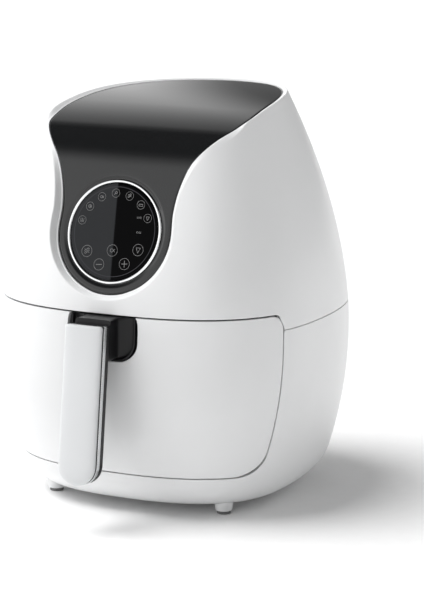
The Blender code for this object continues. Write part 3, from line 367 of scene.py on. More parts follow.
def parting_edge(level, side, parting_z):
    """The edge of half a casing as (angle, z): along the opening at one level, up or down its side, and
    round the back on the parting line."""
    along = np.linspace(0, side_angle(side[0, 0], level), 40)
    turn = side_angle(side[:, 0], side[:, 1])
    back = np.linspace(turn[-1], math.pi, 60)[1:]
    parts = [np.column_stack([along, np.full(len(along), level)])]
    parts += [np.column_stack([turn, side[:, 1]])[1:]]
    parts += [np.column_stack([back, np.full(len(back), parting_z)])]
    return mirrored(resampled(np.concatenate(parts), around))


def layered(count, near, far):
    """Shares from 0 to 1, with extra lines close to the ends that are asked for, to shape round edges."""
    layers = np.array([0.0006, 0.0018, 0.0036, 0.006, 0.0095])
    start = np.concatenate([[0.0], layers]) if near else np.array([0.0])
    end = 1 - start[::-1] if far else np.array([1.0])
    return np.concatenate([start, np.linspace(start[-1], end[0], count)[1:-1], end])


def edge_dip(points, boundary, radius):
    """How far the surface dips near an edge: a quarter circle over the last radius before it."""
    nearest = np.full(points.shape[:-1], np.inf)
    for part in np.array_split(boundary, 12):
        gap = np.linalg.norm(points[..., None, :] - part, axis=-1).min(-1)
        nearest = np.minimum(nearest, gap)
    short = np.clip(radius - nearest, 0, radius)
    return radius - np.sqrt(radius**2 - short**2)


def grid_faces(rows, columns, rows_close, columns_close):
    """Quads between neighbours in a grid; a closed direction joins its last line to its first."""
    down = np.arange(rows if rows_close else rows - 1)
    across = np.arange(columns if columns_close else columns - 1)
    i, j = np.meshgrid(down, across, indexing="ij")
    below, beside = (i + 1) % rows, (j + 1) % columns
    near, far = i * columns, below * columns
    return np.stack([near + j, near + beside, far + beside, far + j], -1).reshape(-1, 4)


def put(name, skins, material, body, slot, *nodes, sharp=38):
    """One piece from its skins, each (grid of points, rows close, columns close): coincident points are
    welded, faces turned outwards and shaded round, and the piece fixed to its body."""
    points, faces, start = [], [], 0
    for grid, rows_close, columns_close in skins:
        rows, columns = grid.shape[:2]
        points.append(grid.reshape(-1, 3))
        faces.append(grid_faces(rows, columns, rows_close, columns_close) + start)
        start += rows * columns
    mesh = bpy.data.meshes.new(name)
    mesh.from_pydata(np.concatenate(points).tolist(), [], np.concatenate(faces).tolist())
    shape = bmesh.new()
    shape.from_mesh(mesh)
    bmesh.ops.remove_doubles(shape, verts=shape.verts, dist=2e-6)
    bmesh.ops.dissolve_degenerate(shape, edges=shape.edges, dist=1e-7)
    bmesh.ops.recalc_face_normals(shape, faces=shape.faces)
    shape.to_mesh(mesh)
    shape.free()
    mesh.shade_smooth()
    mesh.set_sharp_from_angle(angle=math.radians(sharp))
    mesh.materials.append(material)
    piece = bpy.data.objects.new(name, mesh)
    bpy.context.scene.collection.objects.link(piece)
    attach(piece, body)
    if nodes:
        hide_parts(*nodes)
    return piece


def shader_group(name, inputs, outputs):
    """An empty node group; inputs are (name, kind, default) and outputs are (name, kind)."""
    group = bpy.data.node_groups.new(name, "ShaderNodeTree")
    for label, kind, default in inputs:
        socket = group.interface.new_socket(label, in_out="INPUT", socket_type=f"NodeSocket{kind}")
        socket.default_value = default
    for label, kind in outputs:
        group.interface.new_socket(label, in_out="OUTPUT", socket_type=f"NodeSocket{kind}")
    given = group.nodes.new("NodeGroupInput").outputs
    return group, given, group.nodes.new("NodeGroupOutput").inputs


def moulded_grain():
    """Moulded plastic: a faint flow tone, slowly varying roughness and a fine spark-eroded texture."""
    grey = (0.8, 0.8, 0.8, 1)
    inputs = [("Tone", "Color", grey), ("Grain Size", "Float", 0.0006), ("Rough", "Float", 0.3)]
    outputs = [("Color", "Color"), ("Roughness", "Float"), ("Height", "Float")]
    group, given, result = shader_group("moulded_grain", inputs, outputs)
    place = node(group, "ShaderNodeTexCoord").outputs["Object"]
    fineness = sums(group, "DIVIDE", 1.0, given["Grain Size"])
    shade = ramp(group, noise(group, place, 14.0, 3.0), [(0.3, 0.975), (0.7, 1.0)])
    drift = between(group, noise(group, place, 45.0, 5.0), -0.035, 0.035)
    group.links.new(mix(group, 1.0, given["Tone"], shade, "MULTIPLY"), result["Color"])
    group.links.new(sums(group, "ADD", given["Rough"], drift), result["Roughness"])
    group.links.new(noise(group, place, fineness, 2.0), result["Height"])
    return group


def settled_dust():
    """A film of dust: it lies where the surface faces up, broken by noise."""
    grey, dust = (0.5, 0.5, 0.5, 1), (0.6, 0.58, 0.55, 1)
    inputs = [("Color", "Color", grey), ("Dust", "Color", dust), ("Amount", "Float", 0.1)]
    group, given, result = shader_group("settled_dust", inputs, [("Color", "Color")])
    place = node(group, "ShaderNodeTexCoord").outputs["Object"]
    normal = node(group, "ShaderNodeNewGeometry").outputs["Normal"]
    up = node(group, "ShaderNodeSeparateXYZ", ("Vector", normal)).outputs["Z"]
    facing = ramp(group, up, [(0.55, 0.0), (1.0, 1.0)])
    broken = ramp(group, noise(group, place, 700.0, 6.0), [(0.45, 0.0), (0.72, 1.0)])
    thin = sums(group, "MULTIPLY", sums(group, "MULTIPLY", facing, broken), given["Amount"])
    group.links.new(mix(group, thin, given["Color"], given["Dust"]), result["Color"])
    return group


moulded_grain_group = moulded_grain()
settled_dust_group = settled_dust()


def dusted(tree, colour, amount):
    """A colour under the film of dust."""
    inputs = ("Color", colour), ("Amount", amount)
    film = node(tree, "ShaderNodeGroup", *inputs, node_tree=settled_dust_group)
    return film.outputs["Color"]


def moulded(name, tone, rough, grain_size, grain_depth, dust, coat=0.0, specular=0.5):
    """A moulded plastic finish from the grain and dust groups."""
    material, tree, shader, _ = new_finish(name)
    inputs = ("Tone", (*tone, 1)), ("Grain Size", grain_size), ("Rough", rough)
    grain = node(tree, "ShaderNodeGroup", *inputs, node_tree=moulded_grain_group).outputs
    normal = bumped(tree, grain["Height"], 0.25, grain_depth)
    dusty = dusted(tree, grain["Color"], dust)
    feed(tree, shader, Base_Color=dusty, Roughness=grain["Roughness"])
    feed(tree, shader, Normal=normal, Coat_Weight=coat, Coat_Roughness=0.12)
    feed(tree, shader, Specular_IOR_Level=specular)
    return material


white_abs = moulded("white_abs", (0.79, 0.795, 0.80), 0.32, 0.0005, 0.00002, 0.03, coat=0.15)
lower_edge = parting_edge(opening_bottom, opening_foot(), seam_z)
base_share = np.linspace(0, 1, around)
base_angles = np.interp(base_share, [0, 0.23, 0.46, 1], [0, 0.98, 1.45, math.pi])
base_edge = mirrored(np.column_stack([base_angles, np.full(around, body_bottom)]))


def ruled(low, high, shares):
    """Angles and heights of the lines at these shares of the way from one edge to the other."""
    steps = np.asarray(shares)[:, None]
    return [low[None, :, k] * (1 - steps) + high[None, :, k] * steps for k in range(2)]


def lower_shell():
    """Loops of the section: down the outside from the opening's edge, in along the floor to the hole for
    the base plate, and back up the inside."""
    angle, z = ruled(lower_edge, base_edge, layered(46, True, False))
    z = np.maximum(z, body_bottom)
    dip = edge_dip(casing(angle, z), casing(lower_edge[:, 0], lower_edge[:, 1]), edge_round)
    outside = casing(angle, z, dip)
    inside = casing(angle[::-3], np.maximum(z[::-3], body_bottom + wall), wall)
    top_inside = casing(lower_edge[:, 0], lower_edge[:, 1], wall)[None]
    sizes = plate_hole_half, plate_hole_half, plate_hole_power
    hole = superellipse(base_edge[:, 0], *sizes, base_edge[:, 1])[:, :2]
    rim_flat = outside[-1][:, :2]
    floor = []
    for step, height in ((0.3, 0), (0.65, 0), (1.0, 0), (1.0, wall), (0.5, wall)):
        ring = rim_flat * (1 - step) + hole * step
        floor.append(np.column_stack([ring, np.full(len(ring), body_bottom + height)]))
    return np.concatenate([outside, np.array(floor), inside, top_inside])


put("casing_lower", [(lower_shell(), True, True)], white_abs, "housing", "white_plastic", "lower_housing")


# ------------------------------------------------------------------------------------ upper housing
# The top half of the casing, in the same white ABS. Its upper edge flows from a round bulb about the
# display, through a neck, out to the shoulders and over the crown, with a sloping lip down to the panel.

face_lean = math.radians(16.5)
bend_length = 0.056
rim_foot_z = 0.180
top_fall = 0.0056
top_fall_power = 3.0
top_fall_y = 0.125
panel_thickness = 0.003
lip_ledge = 0.0009
ledge_proud = 0.0001
ledge_turn = 0.0003
fit_gap = 0.0003
display_z = body_top - 0.0985
display_radius = 0.0419
bulb_radius = 0.055
bulb_end = 96
shoulder_angle = 1.17
upper_seam_z = upper_low.z
rim_round = 0.0010


def crown_height(y):
    """The crown's height over y: nearly level behind, it falls away to the front by a power law."""
    return body_top - top_fall * (np.clip(top_fall_y - y, 0, None) / top_fall_y) ** top_fall_power


def crown_slope(y):
    """The crown's slope angle over y."""
    share = np.clip(top_fall_y - y, 0, None) / top_fall_y
    return np.arctan(top_fall_power * top_fall / top_fall_y * share ** (top_fall_power - 1))


def eased_bend(start_y):
    """The bend from the crown at start_y: its slope eases from the crown's to the face's by a smoothstep
    over the bend's length, and (y, z) come from adding up its steps."""
    t = np.linspace(0, 1, 400)
    first = crown_slope(start_y)
    slope = first + (math.pi / 2 - face_lean - first) * (3 * t**2 - 2 * t**3)
    middle = (slope[1:] + slope[:-1]) / 2
    step = bend_length / (len(t) - 1)
    y = start_y - np.concatenate([[0], np.cumsum(np.cos(middle) * step)])
    z = crown_height(start_y) - np.concatenate([[0], np.cumsum(np.sin(middle) * step)])
    return np.stack([y, z, slope], -1)


def sheet_line():
    """The rolled sheet from the side: (y from the axis, z, slope angle, length from its back end). The
    bend starts where it runs out exactly on the leaning face, found by halving."""
    foot_y = -(front_reach - front_share * draw_in(rim_foot_z))
    near, far = -0.09, 0.05
    for _ in range(40):
        start_y = (near + far) / 2
        end_y, end_z, _ = eased_bend(start_y)[-1]
        if end_y < foot_y + (end_z - rim_foot_z) * math.tan(face_lean):
            near = start_y
        else:
            far = start_y
    bend = eased_bend(start_y)
    y = np.linspace(back_reach + 0.02, start_y, 400)[:-1]
    crown = np.stack([y, crown_height(y), crown_slope(y)], -1)
    z = np.linspace(bend[-1, 1], rim_foot_z - 0.03, 200)[1:]
    face_y = foot_y + (z - rim_foot_z) * math.tan(face_lean)
    face = np.stack([face_y, z, np.full(len(z), math.pi / 2 - face_lean)], -1)
    line = np.concatenate([crown, bend, face])
    steps = np.linalg.norm(np.diff(line[:, :2], axis=0), axis=1)
    return np.column_stack([line, np.concatenate([[0], np.cumsum(steps)])])


sheet = sheet_line()
display_run = np.interp(-display_z, -sheet[:, 1], sheet[:, 3])


def on_sheet(x, run, inset):
    """Points on the rolled sheet at x and a length along it, moved inwards by an inset."""
    y, z, slope = (np.interp(run, sheet[:, 3], sheet[:, k]) for k in range(3))
    return np.stack([x, axis_y + y + inset * np.sin(slope), z - inset * np.cos(slope)], -1)


def smooth_line(points, count=14):
    """A Catmull-Rom curve through points; the first and last only guide it."""
    points = np.asarray(points, float)
    t = np.linspace(0, 1, count)[:, None]
    parts = []
    for a, b, c, d in zip(points, points[1:], points[2:], points[3:]):
        linear, square = c - a, 2 * a - 5 * b + 4 * c - d
        cubic = 3 * b - a - 3 * c + d
        parts.append(0.5 * (2 * b + linear * t + square * t**2 + cubic * t**3))
    return np.concatenate([part[:-1] for part in parts] + [points[-2:-1]])


def rim_half():
    """The rim's right half as (angle, z): the bulb's circle, a drawn neck and shoulder, then the crossing
    of crown and casing, found by stepping the height to its fixed point."""
    turn = np.radians(np.linspace(0, bulb_end, 60))
    bulb_x = bulb_radius * np.sin(turn)
    bulb_run = display_run + bulb_radius * np.cos(turn)
    bulb_z = np.interp(bulb_run, sheet[:, 3], sheet[:, 1])
    angle = np.linspace(shoulder_angle, math.pi, 120)
    z = np.full(len(angle), body_top)
    for _ in range(30):
        points = casing(angle, z)
        z = crown_height(points[:, 1] - axis_y)
    guide = [(bulb_x[-12], bulb_z[-12]), (bulb_x[-1], bulb_z[-1])]
    guide += [(0.0540, 0.2480), (0.0564, 0.2650), (0.0626, 0.2820), (0.0690, 0.2905)]
    guide += [(0.0776, 0.2988), (0.0862, 0.3068), (points[0, 0], z[0]), (points[8, 0], z[8])]
    drawn = smooth_line(guide)[1:-1]
    front_x = np.concatenate([bulb_x, drawn[:, 0]])
    front_z = np.concatenate([bulb_z, drawn[:, 1]])
    front = np.column_stack([front_angle(front_x, front_z), front_z])
    return np.concatenate([front, np.column_stack([angle, z])])


rim = mirrored(resampled(rim_half(), around))
rim_points = casing(rim[:, 0], rim[:, 1])


def run_of(points):
    """The length along the sheet nearest to each point, seen from the side."""
    y, z = points[:, 1] - axis_y, points[:, 2]
    gap = (sheet[None, :, 0] - y[:, None]) ** 2 + (sheet[None, :, 1] - z[:, None]) ** 2
    return sheet[gap.argmin(1), 3]


def panel_drop(run):
    """How far the panel lies below the rolled sheet: deeper on the face than over the crown."""
    return np.interp(run, [0.08, 0.19, 0.26], [0.0012, 0.0025, 0.0040])


def lip_width(run):
    """The sloping lip's width, which is broadest at the shoulders."""
    return np.interp(run, [0.08, 0.17, 0.22, 0.26], [0.0032, 0.0042, 0.0044, 0.0042])


def soften(values, passes):
    """A closed line evened out a little by its neighbours."""
    for _ in range(passes):
        values = (np.roll(values, 1, 0) + 2 * values + np.roll(values, -1, 0)) / 4
    return values


def drawn_inwards(outline, distance):
    """A closed outline moved to its inner side by a distance."""
    along = np.roll(outline, -1, 0) - np.roll(outline, 1, 0)
    along /= np.linalg.norm(along, axis=1)[:, None]
    across = np.column_stack([-along[:, 1], along[:, 0]])
    outwards = ((outline - outline.mean(0)) * across).sum() > 0
    if outwards:
        across = -across
    return outline + across * np.broadcast_to(distance, len(outline))[:, None]


def laid(flat, extra=0.0):
    """Points of a flat outline on the panel's level of the rolled sheet, and an extra depth below it."""
    return on_sheet(flat[:, 0], flat[:, 1], panel_drop(flat[:, 1]) + extra)


rim_flat = soften(np.column_stack([rim_points[:, 0], run_of(rim_points)]), 6)
lip_foot_flat = soften(drawn_inwards(rim_flat, lip_width(rim_flat[:, 1])), 4)
ledge_flat = soften(drawn_inwards(rim_flat, lip_width(rim_flat[:, 1]) - lip_ledge), 4)
ledge = laid(ledge_flat, -ledge_proud)
lip_foot = laid(lip_foot_flat, -ledge_proud)


def opening_head():
    """The opening's right edge from its head down to the seam, in (y from the axis, z)."""
    corner_z = opening_top - opening_corner_top
    corner_y = opening_edge(corner_z) - opening_corner_top
    turn = arc((corner_y, corner_z), opening_corner_top, 90, -opening_lean)
    return np.concatenate([turn, straight(turn[-1], (turn[-1, 0], upper_seam_z), 10)[1:]])


upper_edge = parting_edge(opening_top, opening_head(), upper_seam_z)


def bent(a, b, c, count):
    """Rows of a round corner from line a by corner b to line c, as a quadratic curve."""
    shares = np.linspace(0, 1, count)
    return [a * (1 - t) ** 2 + 2 * b * t * (1 - t) + c * t**2 for t in shares]


def along_unit(start, end):
    """Unit steps from each point of one line to the next line's."""
    way = end - start
    return way / np.linalg.norm(way, axis=1)[:, None]


def upper_shell():
    """Loops of the section: up the outside, over the rim, down the sloping lip, across its narrow ledge
    beside the panel, and down the inside."""
    length = np.linalg.norm(casing(upper_edge[:, 0], upper_edge[:, 1]) - rim_points, axis=1)
    shares = layered(64, True, False)[:, None] * (1 - rim_round / length)
    angle, z = (upper_edge[None, :, k] + (rim[:, k] - upper_edge[:, k])[None] * shares for k in (0, 1))
    dip = edge_dip(casing(angle, z), casing(upper_edge[:, 0], upper_edge[:, 1]), edge_round)
    outside = casing(angle, z, dip)
    down, side = along_unit(rim_points, ledge), along_unit(ledge, lip_foot)
    under = laid(lip_foot_flat, panel_thickness)
    over = bent(outside[-1], rim_points, rim_points + down * rim_round, 7)[1:]
    lip = [rim_points + (ledge - rim_points) * share for share in (0.5, 0.7)]
    turn = bent(ledge - down * ledge_turn, ledge, ledge + side * ledge_turn, 4)
    drop = bent(lip_foot - side * ledge_turn, lip_foot, lip_foot + (under - lip_foot) * 0.12, 4)
    inner_angle, inner_z = ruled(upper_edge, rim, np.linspace(0.93, 0.0, 22))
    inside = casing(inner_angle, inner_z, wall)
    return np.concatenate([outside, np.array(over + lip + turn + drop + [under]), inside])


put("casing_upper", [(upper_shell(), True, True)], white_abs, "housing", "white_plastic", "upper_housing")


# ---------------------------------------------------------------------------------------- top panel
# One moulding in piano-black acrylic that falls over the crown and down the front, clipped in from
# below, with a round window for the display and a soft groove about it.

groove_depth = 0.0009
groove_width = 0.0034
edge_width = 0.0026
edge_depth = 0.0016
window_radius = display_radius + fit_gap
panel_edge_flat = drawn_inwards(lip_foot_flat, fit_gap)


def piano_black():
    """Gloss black with hairline polishing swirls and a few specks of dust."""
    material, tree, shader, place = new_finish("piano_black")
    mask = ramp(tree, cells(tree, place, 420.0), [(0.035, 1.0), (0.06, 0.0)])
    tone = mix(tree, mask, (0.0085, 0.009, 0.0095, 1), (0.03, 0.03, 0.03, 1))
    dusty = dusted(tree, tone, 0.004)
    rough = between(tree, noise(tree, place, 30.0, 5.0), 0.05, 0.09)
    normal = bumped(tree, noise(tree, place, 900.0, distortion=1.5), 0.03, 0.000004)
    feed(tree, shader, Base_Color=dusty, Roughness=rough, Normal=normal, IOR=1.55)
    return material


def panel_shell():
    """Loops about the display, from its window out to the edge, round the edge, and back underneath. Each
    loop is the blend of the window's circle and the outline, laid on the rolled sheet."""
    along = panel_edge_flat[:, 1] - display_run
    turn = np.arctan2(panel_edge_flat[:, 0], along)
    hole_x, hole_run = window_radius * np.sin(turn), display_run + window_radius * np.cos(turn)
    hole = np.column_stack([hole_x, hole_run])
    span = np.linalg.norm(panel_edge_flat - hole, axis=1)

    def loop(reach, depth=0.0):
        step = np.broadcast_to(reach, len(span))[:, None]
        return laid(hole * (1 - step) + panel_edge_flat * step, depth)

    rows = []
    for out in np.linspace(0, groove_width, 9):
        dip = groove_depth * (0.5 + 0.5 * math.cos(math.pi * out / groove_width))
        rows.append(loop(np.clip(out / span, 0, 1), dip))
    near_edge = 1 - edge_width / span
    for share in np.linspace(0, 1, 70)[1:]:
        rows.append(loop((groove_width / span) * (1 - share) + near_edge * share))
    for lift in np.radians(np.linspace(0, 90, 9)[1:]):
        reach = 1 - edge_width * (1 - math.sin(lift)) / span
        rows.append(loop(reach, edge_depth * (1 - math.cos(lift))))
    rows += [loop(share, panel_thickness) for share in np.linspace(1, 0, 40)]
    return np.array(rows)


put("panel_black", [(panel_shell(), True, True)], piano_black(), "housing", "black_gloss", "top_panel")


# ------------------------------------------------------------------- display ring, lens and symbols
# A bright chrome-plated bezel pressed round a smoked acrylic lens. The lens carries the lamp-lit symbols
# as thin prints: programme pictograms on an arc, three larger keys, and minus and plus.

ring_width = 0.0026
ring_half_depth = 0.00165
ring_depth = 0.00115
lens_radius = display_radius - ring_width - fit_gap
lens_crown = 0.0001
lens_fall = 0.0002
print_half_height = 0.00006
print_lift = 0.00004
# The first tone is a painted reflection on the lens, left of a slanting edge; the second is the lens's
# own smoked colour.
painted_reflection_tone = (0.028, 0.029, 0.031, 1)
dark_tone = (0.0008, 0.0008, 0.001, 1)
circle_tone = (0.05, 0.05, 0.055, 1)
circle_share = 0.92
painted_reflection_slant = 0.0526


def on_face(x, up, depth):
    """Points by the display: x, distance up the leaning face from its centre, depth below the panel."""
    y, z, _ = (np.interp(display_run, sheet[:, 3], sheet[:, k]) for k in range(3))
    sink = panel_drop(display_run) + depth
    at_y = axis_y + y + up * math.sin(face_lean) + sink * math.cos(face_lean)
    at_z = z + up * math.cos(face_lean) - sink * math.sin(face_lean)
    return np.stack(np.broadcast_arrays(x, at_y, at_z), -1)


def disc_skin(profile, count=160):
    """A shape turned about the display's axis from (radius, depth) pairs that start and end anywhere."""
    profile = np.asarray(profile, float)
    turn = whole_turn(count)
    radius, depth = profile[:, :1], profile[:, 1:]
    return on_face(radius * np.sin(turn), radius * np.cos(turn), depth + 0 * turn)


def squircle(turn, power):
    """Cosine and sine with their sizes raised to a power: a low one makes a rounded square."""
    cosine, sine = np.cos(turn), np.sin(turn)
    return np.sign(cosine) * np.abs(cosine) ** power, np.sign(sine) * np.abs(sine) ** power


def bright_metal(name, tone, rough, stretch, depth, streak):
    """Metal with fine lines along one direction, set by how its noise is stretched."""
    material, tree, shader, place = new_finish(name)
    pulled = node(tree, "ShaderNodeMapping", ("Vector", place), ("Scale", stretch)).outputs["Vector"]
    lines = noise(tree, pulled, 1.0, 6.0)
    streaked = tuple(level * (1 - streak) for level in tone)
    shade = ramp(tree, lines, [(0.3, streaked), (0.7, tone)])
    level = between(tree, lines, rough * 0.7, rough * 1.3)
    normal = bumped(tree, lines, 0.2, depth)
    feed(tree, shader, Base_Color=shade, Roughness=level, Normal=normal, Metallic=1.0)
    return material


def bezel_profile():
    """The bezel's section: a superellipse bead a little proud of the panel."""
    half = ring_width / 2
    across, deep = squircle(whole_turn(32), 0.7)
    return np.column_stack([display_radius - half + half * across, ring_depth + ring_half_depth * deep])


chrome = bright_metal("chrome_plate", (0.86, 0.87, 0.88), 0.09, (300, 300, 300), 0.000003, 0.05)
put("bezel", [(disc_skin(bezel_profile()), True, True)], chrome, "housing", "chrome", "display_ring")


def smoked_lens():
    """Smoked acrylic: near black, with a painted reflection that makes the window lighter to the left of
    a slanting edge, and a thin printed circle near its border."""
    material, tree, shader, place = new_finish("smoked_lens")
    moved = ("Location", tuple(float(-c) for c in on_face(0.0, 0.0, 0.0)))
    flat = node(tree, "ShaderNodeMapping", ("Vector", place), moved).outputs["Vector"]
    turned = ("Rotation", (face_lean - math.pi / 2, 0, 0))
    face = node(tree, "ShaderNodeMapping", ("Vector", flat), turned).outputs["Vector"]
    parts = node(tree, "ShaderNodeSeparateXYZ", ("Vector", face)).outputs
    level = node(
        tree, "ShaderNodeVectorMath", (0, face), (1, (1, 1, 0)), operation="MULTIPLY"
    ).outputs[0]
    radius = node(tree, "ShaderNodeVectorMath", (0, level), operation="LENGTH").outputs["Value"]
    # Painted reflection: the window is lighter on one side of this slanting edge.
    slant = sums(tree, "MULTIPLY_ADD", parts["Y"], painted_reflection_slant, parts["X"])
    side = node(
        tree, "ShaderNodeMapRange", ("Value", slant), ("From Min", -0.0006), ("From Max", 0.0006)
    ).outputs["Result"]
    ramp_reach = 1.2
    circle_at = circle_share / ramp_reach
    scaled = sums(tree, "MULTIPLY", radius, 1 / (lens_radius * ramp_reach))
    stops = [(-0.008, 0.0), (-0.003, 1.0), (0.003, 1.0), (0.008, 0.0)]
    line = ramp(tree, scaled, [(circle_at + shift, level) for shift, level in stops])
    printed = mix(tree, line, mix(tree, side, painted_reflection_tone, dark_tone), circle_tone)
    rough = between(tree, noise(tree, place, 60.0, 4.0), 0.04, 0.09)
    feed(tree, shader, Base_Color=printed, Roughness=rough, Specular_IOR_Level=0.04)
    return material


lens_profile = [(0, 0.0001), (0.01, 0.00012), (0.02, 0.00016), (0.03, 0.00022)]
lens_profile += [(lens_radius - 0.002, 0.0003), (lens_radius - 0.0006, 0.00036)]
lens_profile += [(lens_radius - 0.0001, 0.0006), (lens_radius, 0.0009)]
lens_profile += [(lens_radius, 0.0016), (0, 0.0016)]
lens_skins = [(disc_skin(lens_profile), False, True)]
put("lens", lens_skins, smoked_lens(), "housing", "display_glass", "display_lens")


def capped(rows):
    """Loops with both ends drawn together at their centres."""
    count = rows.shape[1]
    first, last = (np.repeat(end.mean(1, keepdims=True), count, 1) for end in (rows[:1], rows[-1:]))
    return np.concatenate([first, rows, last])


def stroke(points, width, closes):
    """A printed line: a thin six-sided ribbon swept along points given as (x, up) on the lens."""
    points = np.asarray(points, float)
    if closes:
        along = np.roll(points, -1, 0) - np.roll(points, 1, 0)
    else:
        along = np.gradient(points, axis=0)
    along /= np.linalg.norm(along, axis=1)[:, None]
    across = np.column_stack([-along[:, 1], along[:, 0]])
    turn = whole_turn(6)
    off = width / 2 * np.cos(turn)
    high = print_half_height * np.sin(turn) - print_lift
    flat = points[:, None, :] + across[:, None, :] * off[None, :, None]
    sag = lens_crown + lens_fall * np.clip((flat**2).sum(-1) / lens_radius**2, 0, 1)
    grid = on_face(flat[..., 0], flat[..., 1], sag + high[None, :])
    return grid if closes else capped(grid), closes, True


def ring_mark(x, up, radius, width, count=28):
    """A printed circle."""
    turn = whole_turn(count)
    return stroke(np.column_stack([x + radius * np.cos(turn), up + radius * np.sin(turn)]), width, True)


def line_mark(x, up, ends, width):
    """A straight print between two points given about a centre."""
    start, end = (np.array([[x + dx, up + dy]]) for dx, dy in ends)
    steps = np.linspace(0, 1, 5)[:, None]
    return stroke(start * (1 - steps) + end * steps, width, False)


def wave_mark(x, up, length, swing, width):
    """A print that waves: height follows a sine along its length."""
    s = np.linspace(-0.5, 0.5, 17)
    return stroke(np.column_stack([x + length * s, up + swing * np.sin(2 * math.pi * s)]), width, False)


def programme_marks(kind, x, up, size):
    """A pictogram by number: 0 chips, 1 roast, 2 fish, 3 drumstick, 4 shrimp, 5 cake, 6 pizza."""
    thin = 0.00032
    half = size / 2

    def lines(*ends):
        scaled = [[(half * a, half * b) for a, b in pair] for pair in ends]
        return [line_mark(x, up, pair, thin) for pair in scaled]

    def ring(dx, dy, radius, count=28):
        return ring_mark(x + half * dx, up + half * dy, half * radius, thin, count)

    if kind == 0:
        return lines(*[((dx, -1), (dx * 1.5, 1)) for dx in (-0.6, 0, 0.6)])
    if kind == 1:
        return [ring(0, 0, 0.75), ring(0.2, 0, 0.25, 14)]
    if kind == 2:
        return [ring(-0.2, 0, 0.55)] + lines(((0.4, 0), (1, 0.5)), ((0.4, 0), (1, -0.5)))
    if kind == 3:
        return [ring(0.2, 0.25, 0.5)] + lines(((-0.15, -0.1), (-0.8, -0.8)))
    if kind == 4:
        return [wave_mark(x, up + dy * half, size * 0.9, half * 0.3, thin) for dy in (-0.5, 0.1, 0.7)]
    if kind == 5:
        box = [(-1, -0.6), (1, -0.6), (1, 0.3), (-1, 0.3), (-1, -0.6)]
        return lines(*zip(box, box[1:]))
    wedge = [(0, -1), (0.8, 0.7), (-0.8, 0.7), (0, -1)]
    return lines(*zip(wedge, wedge[1:]))


def display_marks():
    """Seven small programme keys on an arc, a key row, minus and plus, and two unit marks."""
    marks = []
    tilt = math.radians(5.4)
    arc_radius, arc_pitch = 0.0308, 23.7

    def place(x, up):
        return x * math.cos(tilt) - up * math.sin(tilt), x * math.sin(tilt) + up * math.cos(tilt)

    for k in range(7):
        turn = math.radians(90 + arc_pitch * (3 - k))
        x, up = place(arc_radius * math.cos(turn), arc_radius * math.sin(turn))
        marks.append(ring_mark(x, up, 0.0034, 0.00022))
        marks += programme_marks(k, x, up, 0.0034)
    for k, kind in enumerate((4, 2, 6)):
        x, up = place(0.0228 * (k - 1) - 0.0009, -0.0150)
        marks.append(ring_mark(x, up, 0.0046, 0.00026))
        marks += programme_marks(kind, x, up, 0.0048)
    for side in (-1, 1):
        x, up = place(0.01135 * side - 0.0010, -0.0259)
        marks.append(ring_mark(x, up, 0.0045, 0.00026))
        marks.append(line_mark(x, up, ((-0.0026, -0.0002), (0.0026, 0.0002)), 0.00042))
        if side > 0:
            marks.append(line_mark(x, up, ((0.0002, -0.0026), (-0.0002, 0.0026)), 0.00042))
    for row in (0.0108, -0.0010):
        x, up = place(0.0205, row)
        marks.append(ring_mark(x, up, 0.0006, 0.00026, 12))
        for shift in (0.0013, 0.0022, 0.0031):
            marks.append(line_mark(x + shift, up, ((0, -0.0008), (0, 0.0008)), 0.00028))
    return marks


def print_ink():
    """Grey ink that lets a little lamp light through, uneven as a pad print is."""
    material, tree, shader, place = new_finish("print_ink")
    tone = ramp(tree, noise(tree, place, 1500.0), [(0.3, 0.17), (0.7, 0.27)])
    feed(tree, shader, Base_Color=tone, Roughness=0.45)
    feed(tree, shader, Emission_Color=tone, Emission_Strength=0.07)
    return material


put("display_symbols", display_marks(), print_ink(), "housing", "white_plastic")


# ------------------------------------------------------------------------------------- drawer front
# The drawer's outer wall in the same white ABS. It follows the casing, with an even gap all round, and
# a U-shaped notch at the top where the handle's pocket sits.

drawer_gap = 0.0012
side_gap = 0.0009
pocket_half = 0.029
pocket_bottom = 0.131
pocket_corner = 0.016


def pocket_line(grow, top):
    """The pocket's outline from its left top round the U to its right top, in (x, z)."""
    side, low, corner = pocket_half + grow, pocket_bottom - grow, pocket_corner + grow
    centre_z = low + corner
    left = straight((-side, top), (-side, centre_z), 12)[:-1]
    first = arc((-side + corner, centre_z), corner, 180, 270, 18)
    middle = straight((-side + corner, low), (side - corner, low), 14)[1:-1]
    last = arc((side - corner, centre_z), corner, 270, 360, 18)
    right = straight((side, centre_z), (side, top), 12)[1:]
    return np.concatenate([left, first, middle, last, right])


def drawer_side(z):
    """y of the drawer front's side edge at each height, with its rounded corners."""
    low, high = opening_bottom + side_gap, opening_top - drawer_gap
    edge = opening_edge(z) - side_gap
    corners = (opening_corner_top + drawer_gap, high), (opening_corner_foot + drawer_gap, low)
    for corner, level in corners:
        into = np.clip(corner - np.abs(level - z), 0, corner)
        edge = edge - (corner - np.sqrt(np.clip(corner**2 - into**2, 0, None)))
    return edge


def folded(rows):
    """Loops with both ends closed flat: each point there meets the one opposite."""
    first, last = ((end + end[:, ::-1]) / 2 for end in (rows[:1], rows[-1:]))
    return np.concatenate([first, rows, last])


